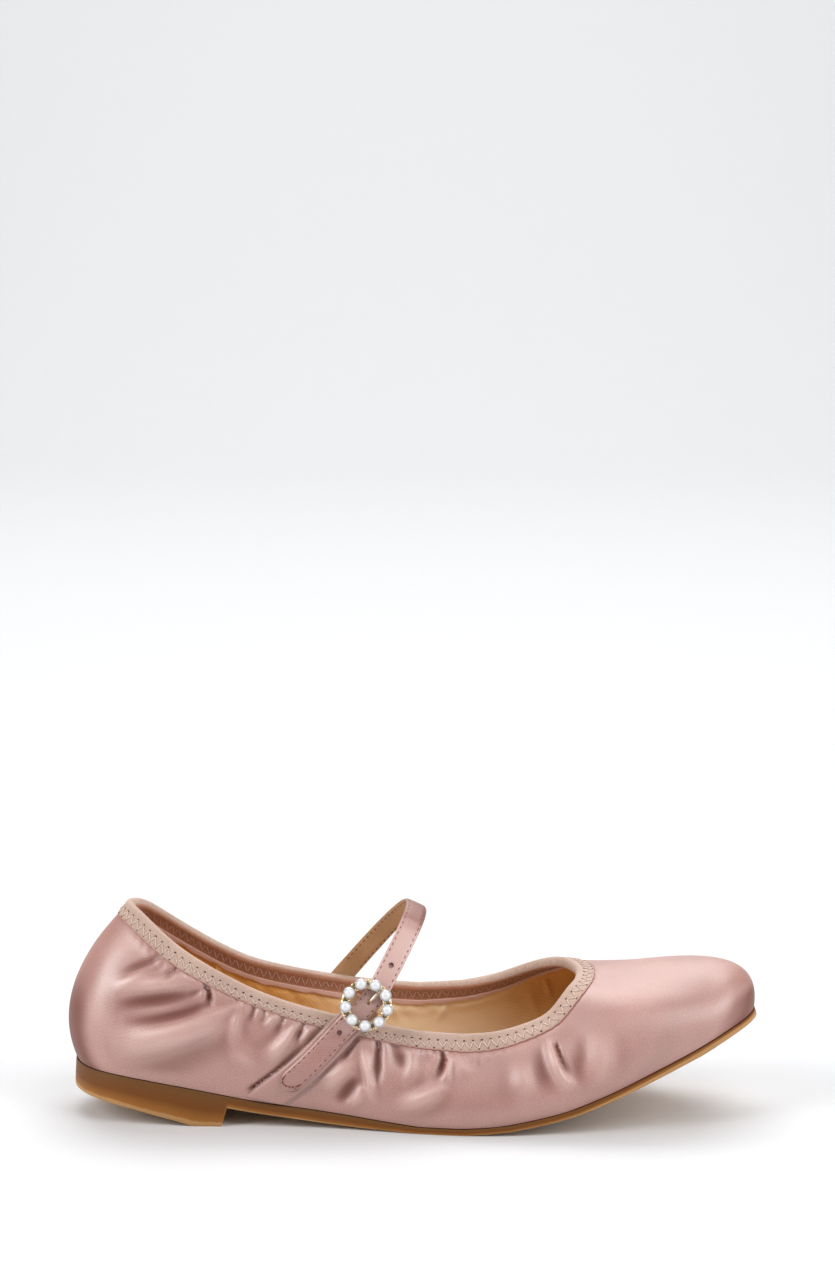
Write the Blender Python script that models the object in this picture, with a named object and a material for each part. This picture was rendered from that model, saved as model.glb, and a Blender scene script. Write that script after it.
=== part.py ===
"""A right-foot satin ballet flat with an elastic collar, an instep strap and a pearl buckle.

Frame: +X towards the toe, +Y towards the inner (medial) side, +Z up, standing on Z = 0.
The origin is on the floor, under the middle of the shoe's box.
"""

from collections import namedtuple
import math

import bmesh
import bpy
import numpy as np

MM = 0.001

# Last and sole
LENGTH = 244.0 * MM          # heel end to toe end of the feather line, along the floor
BALL_WIDTH = 78.0 * MM       # feather line across the ball
HEEL_WIDTH = 55.0 * MM       # feather line across the heel
TOE_SPRING = 34.3 * MM       # rise of the sole at the toe end
HEEL_PITCH = 16.6 * MM       # rise of the sole's top at the heel end
SOLE_EDGE = 2.2 * MM         # sole thickness at the forefoot
SHANK_EDGE = 4.0 * MM        # sole thickness in the waist
HEEL_LIFT = 9.2 * MM         # rise of the heel's underside at its back
BREAST_X = 56.0 * MM         # front face of the heel, from the heel end
HEEL_FLAT = 8.0 * MM         # length of the heel that meets the floor
BALL_FLAT = (0.50, 0.57)     # the part of the ball that meets the floor, as shares of LENGTH
SOLE_LIP = 0.4 * MM          # sole outside the feather line

# Upper
BACK_HEIGHT = 56.5 * MM      # collar above the sole's top, at the back
OPENING_WIDTH = 56.0 * MM    # collar edge, side to side
THROAT_X = 180.5 * MM        # front of the opening, from the heel end
WALL = 1.2 * MM              # satin and lining together
MARGIN = 9.0 * MM            # lasting margin turned in under the insole
FEATHER_RADIUS = 1.8 * MM

# Collar elastic, folded over the edge
ELASTIC = 0.6 * MM
ELASTIC_DROP = 6.0 * MM      # outside leg
ELASTIC_INNER = 7.6 * MM     # inside leg

# Insole
INSOLE = 2.0 * MM

# Strap and anchor
STRAP_WIDTH = 7.8 * MM
STRAP = 1.2 * MM
ANCHOR_WIDTH = 10.4 * MM
ANCHOR = 0.8 * MM
ANCHOR_RETURN = 4.5 * MM     # end of the anchor, folded back over the bar
ARCH_OUTER = 44.0 * MM       # how far the strap carries straight up from the buckle
ARCH_INNER = 50.0 * MM       # and from the inner side of the collar
ARCH_TURN = 16.0             # degrees that the strap turns upright above the buckle
TIP_SHARE = 0.84             # free end, as a share of the way from the buckle to the sole
HOLE_RADIUS = 0.95 * MM
HOLE_SHARE = 0.27            # next hole down, as a share of the way from the buckle to the sole
HOLE_ARCH_SHARE = 0.10       # next hole up, as a share of the arch
END_SKEW = 0.085             # slant of the ends that meet the sole

# Buckle
PEARLS = 9
PEARL_RADIUS = 2.2 * MM
PEARL_CIRCLE = 7.4 * MM      # radius of the circle through the pearls
PEARL_TURN = 20.0            # degrees from the strap's outer edge to the first pearl
PLATE_WIDTH = 3.0 * MM
PLATE = 0.8 * MM
BAR_RADIUS = 0.5 * MM
PRONG_RADIUS = 0.4 * MM
BUCKLE_RISE = 6.0 * MM       # buckle centre above the collar edge
INNER_RISE = 3.0 * MM        # how far the strap keeps to the wall's line above the inner collar

BAND_STEP = 5.0 * MM         # length over which a band comes down off the elastic
ANCHOR_STEP = 6.0 * MM       # length over which the strap comes down off the anchor's folded end
STEP_LEAD = 1.0 * MM         # how far past an edge a band starts to come down
STRAIGHT = 6.0 * MM          # straight run of the strap below the bar
CREST = 1.6                  # how strongly the strap's top turns to face up
SOLE_CLEAR = 1.3 * MM        # from the end of a band to the feather line

GAP = 0.3 * MM               # between pieces that meet

# Mesh density
HEEL_ROWS, TOE_ROWS = 3, 4   # spaces between rows that bend most
PER_HEEL_ROW, PER_SIDE_ROW, PER_TOE_ROW = 4, 2, 4
LOWER_ROWS = 5               # rings of the wall below the elastic
SOLE_STEPS = 46
ARC_STEPS = 40

# One row for each section line of the upper, from heel to toe.
# x, lat, med: feather line. x is a share of LENGTH. lat and med are shares of the width that the row
# follows: HEEL_WIDTH where front is 0, BALL_WIDTH where it is 1.
# cx, clat, cmed: collar edge, as shares of THROAT_X and OPENING_WIDTH.
# hlat, hmed: collar above the sole's top, as shares of BACK_HEIGHT.
# lean, low: angle outwards at the feather line, and how far it carries, as a share of the height.
# tilt, high: angle inwards at the collar, and how far it carries, as a share of the wall's span.
Row = namedtuple("Row", "place x lat med front cx clat cmed hlat hmed lean low tilt high")
ROWS = [
    Row("heel_back",    0.004, 0.000, 0.000, 0.00, 0.113, 0.000, 0.000, 1.012, 1.012, 24, 0.40, 48, 0.36),
    Row("heel_round",   0.026, 0.300, 0.300, 0.00, 0.133, 0.152, 0.134, 0.995, 1.000, 21, 0.40, 44, 0.34),
    Row("heel_quarter", 0.072, 0.440, 0.440, 0.00, 0.172, 0.271, 0.236, 0.926, 0.927, 16, 0.38, 36, 0.32),
    Row("heel_side",    0.136, 0.496, 0.487, 0.00, 0.233, 0.375, 0.339, 0.825, 0.812, 12, 0.36, 26, 0.30),
    Row("breast",       0.213, 0.508, 0.472, 0.00, 0.319, 0.425, 0.393, 0.727, 0.704, 11, 0.36, 20, 0.30),
    Row("waist",        0.299, 0.497, 0.402, 0.15, 0.410, 0.457, 0.420, 0.650, 0.653, 13, 0.36, 16, 0.30),
    Row("instep",       0.389, 0.470, 0.336, 0.50, 0.514, 0.471, 0.454, 0.598, 0.625, 15, 0.36, 16, 0.30),
    Row("arch_front",   0.475, 0.478, 0.350, 0.85, 0.620, 0.482, 0.479, 0.568, 0.618, 17, 0.36, 20, 0.30),
    Row("ball_rear",    0.561, 0.505, 0.404, 1.00, 0.726, 0.491, 0.482, 0.545, 0.630, 19, 0.36, 30, 0.32),
    Row("ball",         0.643, 0.518, 0.462, 1.00, 0.814, 0.482, 0.464, 0.531, 0.655, 21, 0.36, 44, 0.34),
    Row("ball_front",   0.725, 0.497, 0.478, 1.00, 0.898, 0.437, 0.429, 0.545, 0.703, 20, 0.42, 62, 0.42),
    Row("toe_side",     0.807, 0.446, 0.449, 1.00, 0.945, 0.366, 0.366, 0.584, 0.726, 18, 0.55, 74, 0.50),
    Row("toe_quarter",  0.885, 0.363, 0.378, 1.00, 0.976, 0.277, 0.277, 0.662, 0.718, 14, 0.80, 85, 0.58),
    Row("toe_corner",   0.951, 0.250, 0.276, 1.00, 0.994, 0.143, 0.143, 0.672, 0.694, 10, 1.15, 95, 0.67),
    Row("toe_tip",      0.998, -0.026, 0.026, 1.00, 1.000, 0.000, 0.000, 0.685, 0.685, 8, 1.60, 100, 0.74),
]

# The sole's top along its length: shares of TOE_SPRING in front and of HEEL_PITCH behind.
Profile = namedtuple("Profile", "x share")
SPRING = [
    Profile(0.570, 0.000), Profile(0.620, 0.030), Profile(0.660, 0.080), Profile(0.710, 0.160),
    Profile(0.770, 0.310), Profile(0.830, 0.490), Profile(0.890, 0.675), Profile(0.950, 0.865),
    Profile(1.010, 1.000),
]
PITCH = [
    Profile(-0.010, 1.000), Profile(0.040, 0.960), Profile(0.100, 0.860), Profile(0.155, 0.730),
    Profile(0.216, 0.560), Profile(0.260, 0.440), Profile(0.310, 0.340), Profile(0.370, 0.230),
    Profile(0.430, 0.120), Profile(0.505, 0.000),
]
# The heel's underside, from its back to where it meets the floor: shares of HEEL_LIFT.
HEEL_CURL = [
    Profile(0.000, 1.000), Profile(0.210, 0.890), Profile(0.420, 0.700), Profile(0.600, 0.500),
    Profile(0.800, 0.245), Profile(1.000, 0.000), Profile(1.200, 0.000),
]

# Where the strap and its anchor cross the wall, as places in the loop of ROWS.
BUCKLE_AT = 6.62             # buckle
ANCHOR_AT = 4.85             # anchor's end at the sole
INNER_AT = 21.75             # strap at the inner side of the collar
INNER_END_AT = 23.10         # strap's end at the sole on the inner side


def smooth_through(xs, ys, at):
    """Values at the points at, on a curve through the given points that never overshoots them."""
    xs, ys, at = np.asarray(xs, float), np.asarray(ys, float), np.asarray(at, float)
    step = np.diff(xs)
    rise = np.diff(ys) / step
    slope = np.zeros(len(xs))
    for i in range(1, len(xs) - 1):
        if rise[i - 1] * rise[i] > 0:
            a, b = 2 * step[i] + step[i - 1], step[i] + 2 * step[i - 1]
            slope[i] = (a + b) / (a / rise[i - 1] + b / rise[i])
    slope[0] = rise[0] if rise[0] * rise[1] > 0 else 0.0
    slope[-1] = rise[-1] if rise[-1] * rise[-2] > 0 else 0.0
    at = np.clip(at, xs[0], xs[-1])
    k = np.clip(np.searchsorted(xs, at, side="right") - 1, 0, len(step) - 1)
    t = (at - xs[k]) / step[k]
    return (
        (1 + 2 * t) * (1 - t) ** 2 * ys[k]
        + t * (1 - t) ** 2 * step[k] * slope[k]
        + t * t * (3 - 2 * t) * ys[k + 1]
        - t * t * (1 - t) * step[k] * slope[k + 1]
    )


def closed_spline(values, at):
    """Values at the positions at, on a smooth closed curve through values at 0, 1, 2 and so on."""
    n = len(values)
    matrix = 4.0 * np.eye(n) + np.roll(np.eye(n), 1, axis=0) + np.roll(np.eye(n), -1, axis=0)
    bend = np.linalg.solve(matrix, 6.0 * (np.roll(values, 1) - 2 * values + np.roll(values, -1)))
    at = np.asarray(at, float) % n
    i = np.floor(at).astype(int) % n
    j = (i + 1) % n
    t = at - np.floor(at)
    return (
        (1 - t) * values[i]
        + t * values[j]
        + ((1 - t) ** 3 - (1 - t)) * bend[i] / 6.0
        + (t**3 - t) * bend[j] / 6.0
    )


def unit(vectors):
    return vectors / np.linalg.norm(vectors, axis=-1, keepdims=True)


def sole_top(x):
    """Height of the sole's top at x, which is measured from the heel end."""
    share = np.asarray(x, float) / LENGTH
    spring = smooth_through([p.x for p in SPRING], [p.share for p in SPRING], share)
    pitch = smooth_through([p.x for p in PITCH], [p.share for p in PITCH], share)
    return SOLE_EDGE + spring * TOE_SPRING + pitch * HEEL_PITCH


# Both sides of the table as one loop: heel end, outer side, toe end, inner side, heel end
TOE = len(ROWS) - 1
LOOP = 2 * TOE


def loop_places():
    """Places along the loop, closer together round the heel and the toe."""
    side = []
    for row in range(TOE):
        count = PER_SIDE_ROW
        if row < HEEL_ROWS:
            count = PER_HEEL_ROW
        elif row >= TOE - TOE_ROWS:
            count = PER_TOE_ROW
        side += [row + k / count for k in range(count)]
    return np.array(side + [TOE] + [LOOP - place for place in reversed(side[1:])])


def around(outer, inner):
    """One loop of values from a function of the row for each side."""
    return np.array([outer(r) for r in ROWS] + [inner(r) for r in ROWS[-2:0:-1]])


def row_width(r):
    return HEEL_WIDTH + r.front * (BALL_WIDTH - HEEL_WIDTH)


def same(function):
    return around(function, function)


FEATHER_X = same(lambda r: r.x * LENGTH)
FEATHER_Y = around(lambda r: -r.lat * row_width(r), lambda r: r.med * row_width(r))
COLLAR_X = same(lambda r: r.cx * THROAT_X)
COLLAR_Y = around(lambda r: -r.clat * OPENING_WIDTH, lambda r: r.cmed * OPENING_WIDTH)
COLLAR_H = around(lambda r: r.hlat * BACK_HEIGHT, lambda r: r.hmed * BACK_HEIGHT)
LEAN = same(lambda r: math.radians(r.lean))
LOW = same(lambda r: r.low)
TILT = same(lambda r: math.radians(r.tilt))
HIGH = same(lambda r: r.high)


def plan_inward(xs, ys, at):
    """Unit vectors in plan from a closed curve towards its inside."""
    step = 0.01
    dx = closed_spline(xs, at + step) - closed_spline(xs, at - step)
    dy = closed_spline(ys, at + step) - closed_spline(ys, at - step)
    return unit(np.stack([-dy, dx, np.zeros_like(dx)], -1))


def feather(at, inset=0.0):
    """The feather line's points, or points inset from it, resting GAP above the sole."""
    at = np.asarray(at, float)
    point = np.stack([closed_spline(FEATHER_X, at), closed_spline(FEATHER_Y, at), np.zeros_like(at)], -1)
    point = point + inset * plan_inward(FEATHER_X, FEATHER_Y, at)
    point[..., 2] = sole_top(point[..., 0]) + GAP
    return point


def wall_lines(at):
    """The upper's outside as lines from the feather line to the collar, one for each position."""
    at = np.asarray(at, float)
    low = feather(at)
    high = np.stack([closed_spline(COLLAR_X, at), closed_spline(COLLAR_Y, at), np.zeros_like(at)], -1)
    height = closed_spline(COLLAR_H, at)
    high[..., 2] = sole_top(high[..., 0]) + height
    up = np.array([0.0, 0.0, 1.0])
    outward = -plan_inward(FEATHER_X, FEATHER_Y, at)
    inward = plan_inward(COLLAR_X, COLLAR_Y, at)
    lean, tilt = closed_spline(LEAN, at)[:, None], closed_spline(TILT, at)[:, None]
    carry_low = (closed_spline(LOW, at) * (high[:, 2] - low[:, 2]))[:, None]
    carry_high = (closed_spline(HIGH, at) * np.linalg.norm(high - low, axis=-1))[:, None]
    handle_low = low + carry_low * (np.cos(lean) * up + np.sin(lean) * outward)
    handle_high = high - carry_high * (np.cos(tilt) * up + np.sin(tilt) * inward)
    t = np.linspace(0, 1, ARC_STEPS)[None, :, None]
    return (
        (1 - t) ** 3 * low[:, None]
        + 3 * (1 - t) ** 2 * t * handle_low[:, None]
        + 3 * (1 - t) * t**2 * handle_high[:, None]
        + t**3 * high[:, None]
    )


def wall_point(at, drop):
    """Points on the upper's outside, drop below the collar edge. Its lines run on past both ends."""
    at, drop = np.broadcast_arrays(np.asarray(at, float), np.asarray(drop, float))
    shape = at.shape
    lines = wall_lines(at.ravel())[:, ::-1]
    drop = drop.ravel()
    length = np.concatenate(
        [np.zeros((len(lines), 1)), np.cumsum(np.linalg.norm(np.diff(lines, axis=1), axis=-1), axis=1)], 1
    )
    found = np.empty((len(lines), 3))
    for i, line in enumerate(lines):
        if drop[i] < 0:
            found[i] = line[0] + drop[i] * unit(line[1] - line[0])
        elif drop[i] > length[i, -1]:
            found[i] = line[-1] + (drop[i] - length[i, -1]) * unit(line[-1] - line[-2])
        else:
            found[i] = [np.interp(drop[i], length[i], line[:, k]) for k in range(3)]
    return found.reshape(shape + (3,))


def wall_length(at):
    lines = wall_lines(np.atleast_1d(np.asarray(at, float)))
    return np.linalg.norm(np.diff(lines, axis=1), axis=-1).sum(1)


def wall_normal(at, drop):
    """Unit vectors out of the upper."""
    at, drop = np.broadcast_arrays(np.asarray(at, float), np.asarray(drop, float))
    turn, climb = 0.02, 0.4 * MM
    along = wall_point(at + turn, drop) - wall_point(at - turn, drop)
    upward = wall_point(at, drop - climb) - wall_point(at, drop + climb)
    return unit(np.cross(along, upward))


def off_wall(at, drop, lift):
    return wall_point(at, drop) + np.asarray(lift)[..., None] * wall_normal(at, drop)


def mesh_object(name, bm, material, smooth_angle=40.0):
    """An object from a bmesh, with its faces turned out and its round faces smooth."""
    bmesh.ops.recalc_face_normals(bm, faces=bm.faces)
    mesh = bpy.data.meshes.new(name)
    bm.to_mesh(mesh)
    bm.free()
    mesh.shade_smooth()
    mesh.set_sharp_from_angle(angle=math.radians(smooth_angle))
    mesh.materials.append(material)
    made = bpy.data.objects.new(name, mesh)
    bpy.context.scene.collection.objects.link(made)
    return made


def loft(name, rings, material, closed=True):
    """A solid through rings of points. A closed loft joins its last ring to its first."""
    bm = bmesh.new()
    made = [[bm.verts.new(p) for p in ring] for ring in rings]
    pairs = list(zip(made, made[1:])) + ([(made[-1], made[0])] if closed else [])
    for one, other in pairs:
        for i in range(len(one)):
            j = (i + 1) % len(one)
            bm.faces.new((one[i], one[j], other[j], other[i]))
    if not closed:
        bm.faces.new(made[0])
        bm.faces.new(made[-1])
    return mesh_object(name, bm, material)


def ladder(name, sections, material):
    """A solid through sections along the shoe. Each section is a ring, and the two ends may be narrow."""
    return loft(name, sections, material, closed=False)


def material(name, colour, roughness, metallic=0.0):
    made = bpy.data.materials.new(name)
    made.use_nodes = True
    shader = made.node_tree.nodes["Principled BSDF"]
    shader.inputs["Base Color"].default_value = (*colour, 1.0)
    shader.inputs["Roughness"].default_value = roughness
    shader.inputs["Metallic"].default_value = metallic
    made.diffuse_color = (*colour, 1.0)
    return made


def outline(inset, extra=()):
    """x stations from heel to toe, and y on the outer and the inner side, of the feather line inset."""
    side = np.linspace(0, TOE, 40 * TOE + 1)
    outer, inner = feather(side, inset), feather(LOOP - side, inset)
    rear = max(outer[:, 0].min(), inner[:, 0].min())
    front = min(outer[:, 0].max(), inner[:, 0].max())
    turn = np.linspace(0, math.pi, SOLE_STEPS + 1)
    xs = (rear + front) / 2 - (front - rear) / 2 * np.cos(turn)
    end = (front - rear) * 0.0004
    xs[0], xs[-1] = xs[0] + end, xs[-1] - end
    near = [x for x in xs if all(abs(x - e) > 1.2 * MM for e in extra)]
    xs = np.array(sorted(near + list(extra)))

    def at(curve):
        first, last = curve[:, 0].argmin(), curve[:, 0].argmax()
        return np.interp(xs, curve[first : last + 1, 0], curve[first : last + 1, 1])

    return xs, at(outer), at(inner)


def heel_bottom(x):
    """Height of the heel's underside: flat at its front, then curling up to the back."""
    share = np.asarray(x, float) / (BREAST_X - HEEL_FLAT)
    return HEEL_LIFT * smooth_through([p.x for p in HEEL_CURL], [p.share for p in HEEL_CURL], share)


def sole_thickness(x):
    """Thickness of the sole in front of the heel."""
    front_of_waist, back_of_waist = 0.53 * LENGTH, 0.36 * LENGTH
    return smooth_through(
        [0.0, back_of_waist, front_of_waist, LENGTH], [SHANK_EDGE, SHANK_EDGE, SOLE_EDGE, SOLE_EDGE], x
    )


def make_outsole(rubber):
    """One moulded sole: a thin forefoot, a thicker waist and a low heel with a square front."""
    step = 0.7 * MM
    flats = (BALL_FLAT[0] * LENGTH, BALL_FLAT[1] * LENGTH, BREAST_X - HEEL_FLAT)
    xs, outer, inner = outline(-SOLE_LIP, flats + (BREAST_X, BREAST_X + step))
    top = sole_top(xs)
    slope = (sole_top(xs + step) - sole_top(xs - step)) / (2 * step)
    bottom = np.where(xs <= BREAST_X, heel_bottom(xs), top - sole_thickness(xs) * np.sqrt(1 + slope**2))
    bottom = np.maximum(bottom, 0.0)
    bottom[(xs >= flats[0]) & (xs <= flats[1])] = 0.0
    shift = (top - bottom) * slope
    sections = [
        [(x, yo, zt), (x, yi, zt), (x + s, yi, zb), (x + s, yo, zb)]
        for x, yo, yi, zt, zb, s in zip(xs, outer, inner, top, bottom, shift)
    ]
    return ladder("outsole", sections, rubber)


def make_upper(satin):
    """The satin upper with its lining: one wall, from the lasting margin to the collar."""
    at = loop_places()
    up = np.array([0.0, 0.0, 1.0])
    inward = plan_inward(FEATHER_X, FEATHER_Y, at)
    length = wall_length(at)
    corner = 0.3 * FEATHER_RADIUS
    outside = [feather(at, MARGIN), feather(at, FEATHER_RADIUS), feather(at, corner) + corner * up]
    inside = [
        outside[0] + WALL * up,
        outside[1] + WALL * up,
        outside[2] + WALL * unit(inward + up),
    ]
    below = length - FEATHER_RADIUS - ELASTIC_DROP
    drops = [ELASTIC_DROP + below * (1 - k / LOWER_ROWS) for k in range(LOWER_ROWS + 1)]
    drops += [np.full(len(at), ELASTIC_DROP / 2), np.zeros(len(at))]
    for drop in drops:
        outside.append(wall_point(at, drop))
        inside.append(off_wall(at, drop, np.full(len(at), -WALL)))
    return loft("upper", outside + inside[::-1], satin)


def make_binding(elastic):
    """Elastic folded over the collar edge, down both faces of the wall."""
    at = loop_places()
    out_near, out_far = GAP, GAP + ELASTIC
    in_near, in_far = -WALL - GAP, -WALL - GAP - ELASTIC
    middle = -WALL / 2

    def ring(drop, lift):
        return off_wall(at, np.full(len(at), drop), np.full(len(at), lift))

    rings = [
        ring(ELASTIC_DROP, out_far),
        ring(ELASTIC_DROP / 2, out_far),
        ring(0.0, out_far),
        ring(-0.8 * out_far, (out_far + middle) / 2),
        ring(-0.8 * out_far, (in_far + middle) / 2),
        ring(0.0, in_far),
        ring(ELASTIC_DROP / 2, in_far),
        ring(ELASTIC_INNER, in_far),
        ring(ELASTIC_INNER, in_near),
        ring(ELASTIC_DROP / 2, in_near),
        ring(-GAP, in_near),
        ring(-GAP, out_near),
        ring(ELASTIC_DROP / 2, out_near),
        ring(ELASTIC_DROP, out_near),
    ]
    return loft("collar_binding", rings, elastic)


def make_insole(sock):
    """The insole: a board over the lasting margin, and a filler that drops inside the margin."""
    fill_xs, fill_outer, fill_inner = outline(MARGIN + 3 * GAP)
    rear, front = float(fill_xs[0]), float(fill_xs[-1])
    edge = 0.05 * MM
    xs, outer, inner = outline(WALL + 3 * GAP, (rear - edge, rear, front, front + edge))
    under = WALL + 2 * GAP
    rings = []
    for x, yo, yi in zip(xs, outer, inner):
        z = float(sole_top(x))
        fo, fi = float(np.interp(x, fill_xs, fill_outer)), float(np.interp(x, fill_xs, fill_inner))
        fo, fi = max(fo, yo + 0.1 * (yi - yo)), min(fi, yi - 0.1 * (yi - yo))
        low = z + (GAP if rear <= x <= front else under - edge)
        top = z + under + INSOLE
        rings.append(
            [
                (x, yo, top), (x, fo, top), (x, fi, top), (x, yi, top),
                (x, yi, z + under), (x, fi, z + under), (x, fi, low), (x, fo, low), (x, fo, z + under),
                (x, yo, z + under),
            ]
        )
    return ladder("insole", rings, sock)


def across_wall(at, drop, next_at, next_drop, half_width):
    """Steps in at and drop that lead half a width sideways from a path along the wall."""
    turn, climb = 0.02, 0.2 * MM
    here = wall_point(at, drop)
    by_at = (wall_point(at + turn, drop) - wall_point(at - turn, drop)) / (2 * turn)
    by_drop = (wall_point(at, drop + climb) - wall_point(at, drop - climb)) / (2 * climb)
    along = unit(wall_point(next_at, next_drop) - here)
    side = np.cross(wall_normal(at, drop), along) * half_width
    found = np.linalg.lstsq(np.stack([by_at, by_drop], 1), side, rcond=None)[0]
    return found[0], found[1]


def band_rows(path, shares, width, lift, thickness, skew=0.0):
    """Closed sections of a band along the wall. Each width may be one size or a size for each share."""
    lanes = np.linspace(-1, 1, 5)
    widths = np.broadcast_to(width, len(shares))
    forward = 0.03 if shares[-1] > shares[0] else -0.03
    rows = []
    for share, wide in zip(shares, widths):
        at, drop = path(share)
        next_at, next_drop = path(share + forward)
        turn, climb = across_wall(at, drop, next_at, next_drop, wide / 2)
        own_at, own_drop = path(share - skew * math.copysign(1.0, climb) * lanes * share)
        own_at, own_drop = own_at + lanes * turn, own_drop + lanes * climb
        low = off_wall(own_at, own_drop, lift(own_drop))
        high = off_wall(own_at, own_drop, lift(own_drop) + thickness)
        rows.append(list(low) + list(high[::-1]))
    return rows


def free_row(point, along, out, width, thickness, lanes=5):
    """One closed section of a band in the air, with its underside at the point."""
    side = unit(np.cross(out, along))
    out = unit(np.cross(along, side))
    share = np.linspace(-1, 1, lanes) * width / 2
    low = [point + s * side for s in share]
    high = [point + s * side + thickness * out for s in share]
    return low + high[::-1]


def outer_path(share):
    """Place in the loop and drop below the collar, from the buckle at 0 to the sole at 1."""
    at = BUCKLE_AT + (ANCHOR_AT - BUCKLE_AT) * share
    return at, -BUCKLE_RISE + (float(wall_length(ANCHOR_AT)[0]) - SOLE_CLEAR + BUCKLE_RISE) * share


def inner_path(share):
    """The same on the inner side, from just above the collar at 0 to the sole at 1."""
    at = INNER_AT + (INNER_END_AT - INNER_AT) * share
    return at, -INNER_RISE + (float(wall_length(INNER_END_AT)[0]) - SOLE_CLEAR + INNER_RISE) * share


def over_binding(drop):
    """Lift of the lowest band: over the elastic, then down on the satin."""
    past = np.clip((drop - ELASTIC_DROP - STEP_LEAD) / BAND_STEP, 0, 1)
    ease = past * past * (3 - 2 * past)
    return GAP + (1 - ease) * (ELASTIC + GAP)


def on_anchor(drop):
    """Lift of the strap's free end: over the anchor, and over its folded end near the bar."""
    past = np.clip((drop - ANCHOR_RETURN + BUCKLE_RISE - 2 * STEP_LEAD) / ANCHOR_STEP, 0, 1)
    ease = past * past * (3 - 2 * past)
    folded = 2 * (BAR_RADIUS + GAP) + ANCHOR
    return over_binding(drop) + ANCHOR + GAP + (1 - ease) * folded


def buckle_frame_axes():
    """The bar's centre, with the directions up the strap, across it and out of the shoe."""
    at, drop = outer_path(0.0)
    next_at, next_drop = outer_path(-0.1)
    lift = float(over_binding(drop)) + ANCHOR + GAP + BAR_RADIUS
    centre = off_wall(at, drop, lift)
    up = unit(wall_point(next_at, next_drop) - wall_point(at, drop))
    out = wall_normal(at, drop)
    side = unit(np.cross(out, up))
    return centre, up, side, unit(np.cross(up, side))


def placed(local, axes):
    """World points from local ones, given along the strap, across it and out."""
    centre, up, side, out = axes
    local = np.asarray(local, float)
    return centre + local[..., :1] * up + local[..., 1:2] * side + local[..., 2:] * out


STRAP_LEVEL = BAR_RADIUS + GAP + ANCHOR + GAP        # strap's underside above the bar's centre
PLATE_LEVEL = STRAP_LEVEL + STRAP + GAP              # plate's underside above the bar's centre


def make_anchor(satin):
    """The wider strap from the sole to the bar, round it and back."""
    rows = band_rows(outer_path, np.linspace(1.0, 0.14, 16), ANCHOR_WIDTH, over_binding, ANCHOR, END_SKEW)
    axes = buckle_frame_axes()
    near, far = BAR_RADIUS + GAP, BAR_RADIUS + GAP + ANCHOR
    lanes = np.linspace(-1, 1, 5) * ANCHOR_WIDTH / 2

    def turned(angle, along=0.0):
        s, c = math.sin(angle), math.cos(angle)
        low = [(along + s * far, y, -c * far) for y in lanes]
        high = [(along + s * near, y, -c * near) for y in lanes]
        return list(placed(low, axes)) + list(placed(high, axes))[::-1]

    rows += [turned(angle) for angle in np.linspace(0, math.pi, 9)]
    rows.append(turned(math.pi, -ANCHOR_RETURN))
    anchor = loft("strap_anchor", rows, satin, closed=False)
    slot = (3 * far, 2 * (PRONG_RADIUS + GAP), 6 * far)
    cut(anchor, box("anchor_slot", (-0.1 * far, 0.0, 0.0), slot, axes))
    return anchor


def arch(share):
    """Point, direction and outward direction on the strap's underside, over the instep."""
    axes = buckle_frame_axes()
    _, up, side, out = axes
    turn = math.radians(ARCH_TURN)
    start = placed((PEARL_CIRCLE - PLATE_WIDTH, 0, STRAP_LEVEL), axes)
    leg = math.cos(turn) * up + math.sin(turn) * side
    end = off_wall(*inner_path(0.0), over_binding(0.0))
    end_up = unit(end - off_wall(*inner_path(0.05), over_binding(0.0)))
    one, two = start + ARCH_OUTER * leg, end + ARCH_INNER * end_up
    t, u = share, 1 - share
    point = u**3 * start + 3 * u * u * t * one + 3 * u * t * t * two + t**3 * end
    along = unit(u * u * (one - start) + 2 * u * t * (two - one) + t * t * (end - two))
    crest = CREST * math.sin(math.pi * t) ** 2 * np.array([0.5, 0.0, 0.87])
    return point, along, unit(u * out + t * wall_normal(*inner_path(0.0)) + crest)


def make_strap(satin):
    """The strap: free end on the anchor, through the buckle, over the instep, down the inner side."""
    tip = 0.5 * STRAP_WIDTH / (outer_path(1.0)[1] + BUCKLE_RISE)
    back = np.array([0.02, 0.12, 0.3, 0.6, 1.0])
    narrow = np.sqrt(1 - (1 - back) ** 2) * STRAP_WIDTH
    straight = np.linspace(TIP_SHARE - 1.6 * tip, 0.22, 11)
    rows = band_rows(outer_path, TIP_SHARE - back * tip, narrow, on_anchor, STRAP)
    rows += band_rows(outer_path, straight, STRAP_WIDTH, on_anchor, STRAP)
    axes = buckle_frame_axes()
    flat = np.linspace(-STRAIGHT, PEARL_CIRCLE - PLATE_WIDTH, 5)
    for along in flat:
        point = placed((along, 0, STRAP_LEVEL), axes)
        rows.append(free_row(point, axes[1], axes[3], STRAP_WIDTH, STRAP))
    rows += [free_row(*arch(share), STRAP_WIDTH, STRAP) for share in np.linspace(0, 1, 24)[1:-1]]
    rows += band_rows(inner_path, np.linspace(0, 1, 12), STRAP_WIDTH, over_binding, STRAP, END_SKEW)
    strap = loft("strap", rows, satin, closed=False)

    prong_at = BAR_RADIUS + GAP + 2 * PRONG_RADIUS
    cut(strap, rod("prong_hole", placed([(prong_at, 0, 0), (prong_at, 0, 2 * PLATE_LEVEL)], axes)))
    low_at, low_drop = outer_path(HOLE_SHARE)
    ends = on_anchor(low_drop) + np.array([-GAP, 3 * STRAP])
    cut(strap, rod("free_hole", off_wall(low_at, low_drop, ends)))
    point, _, out = arch(HOLE_ARCH_SHARE)
    cut(strap, rod("upper_hole", np.array([point - STRAP * out, point + 2 * STRAP * out])))
    return strap


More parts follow.
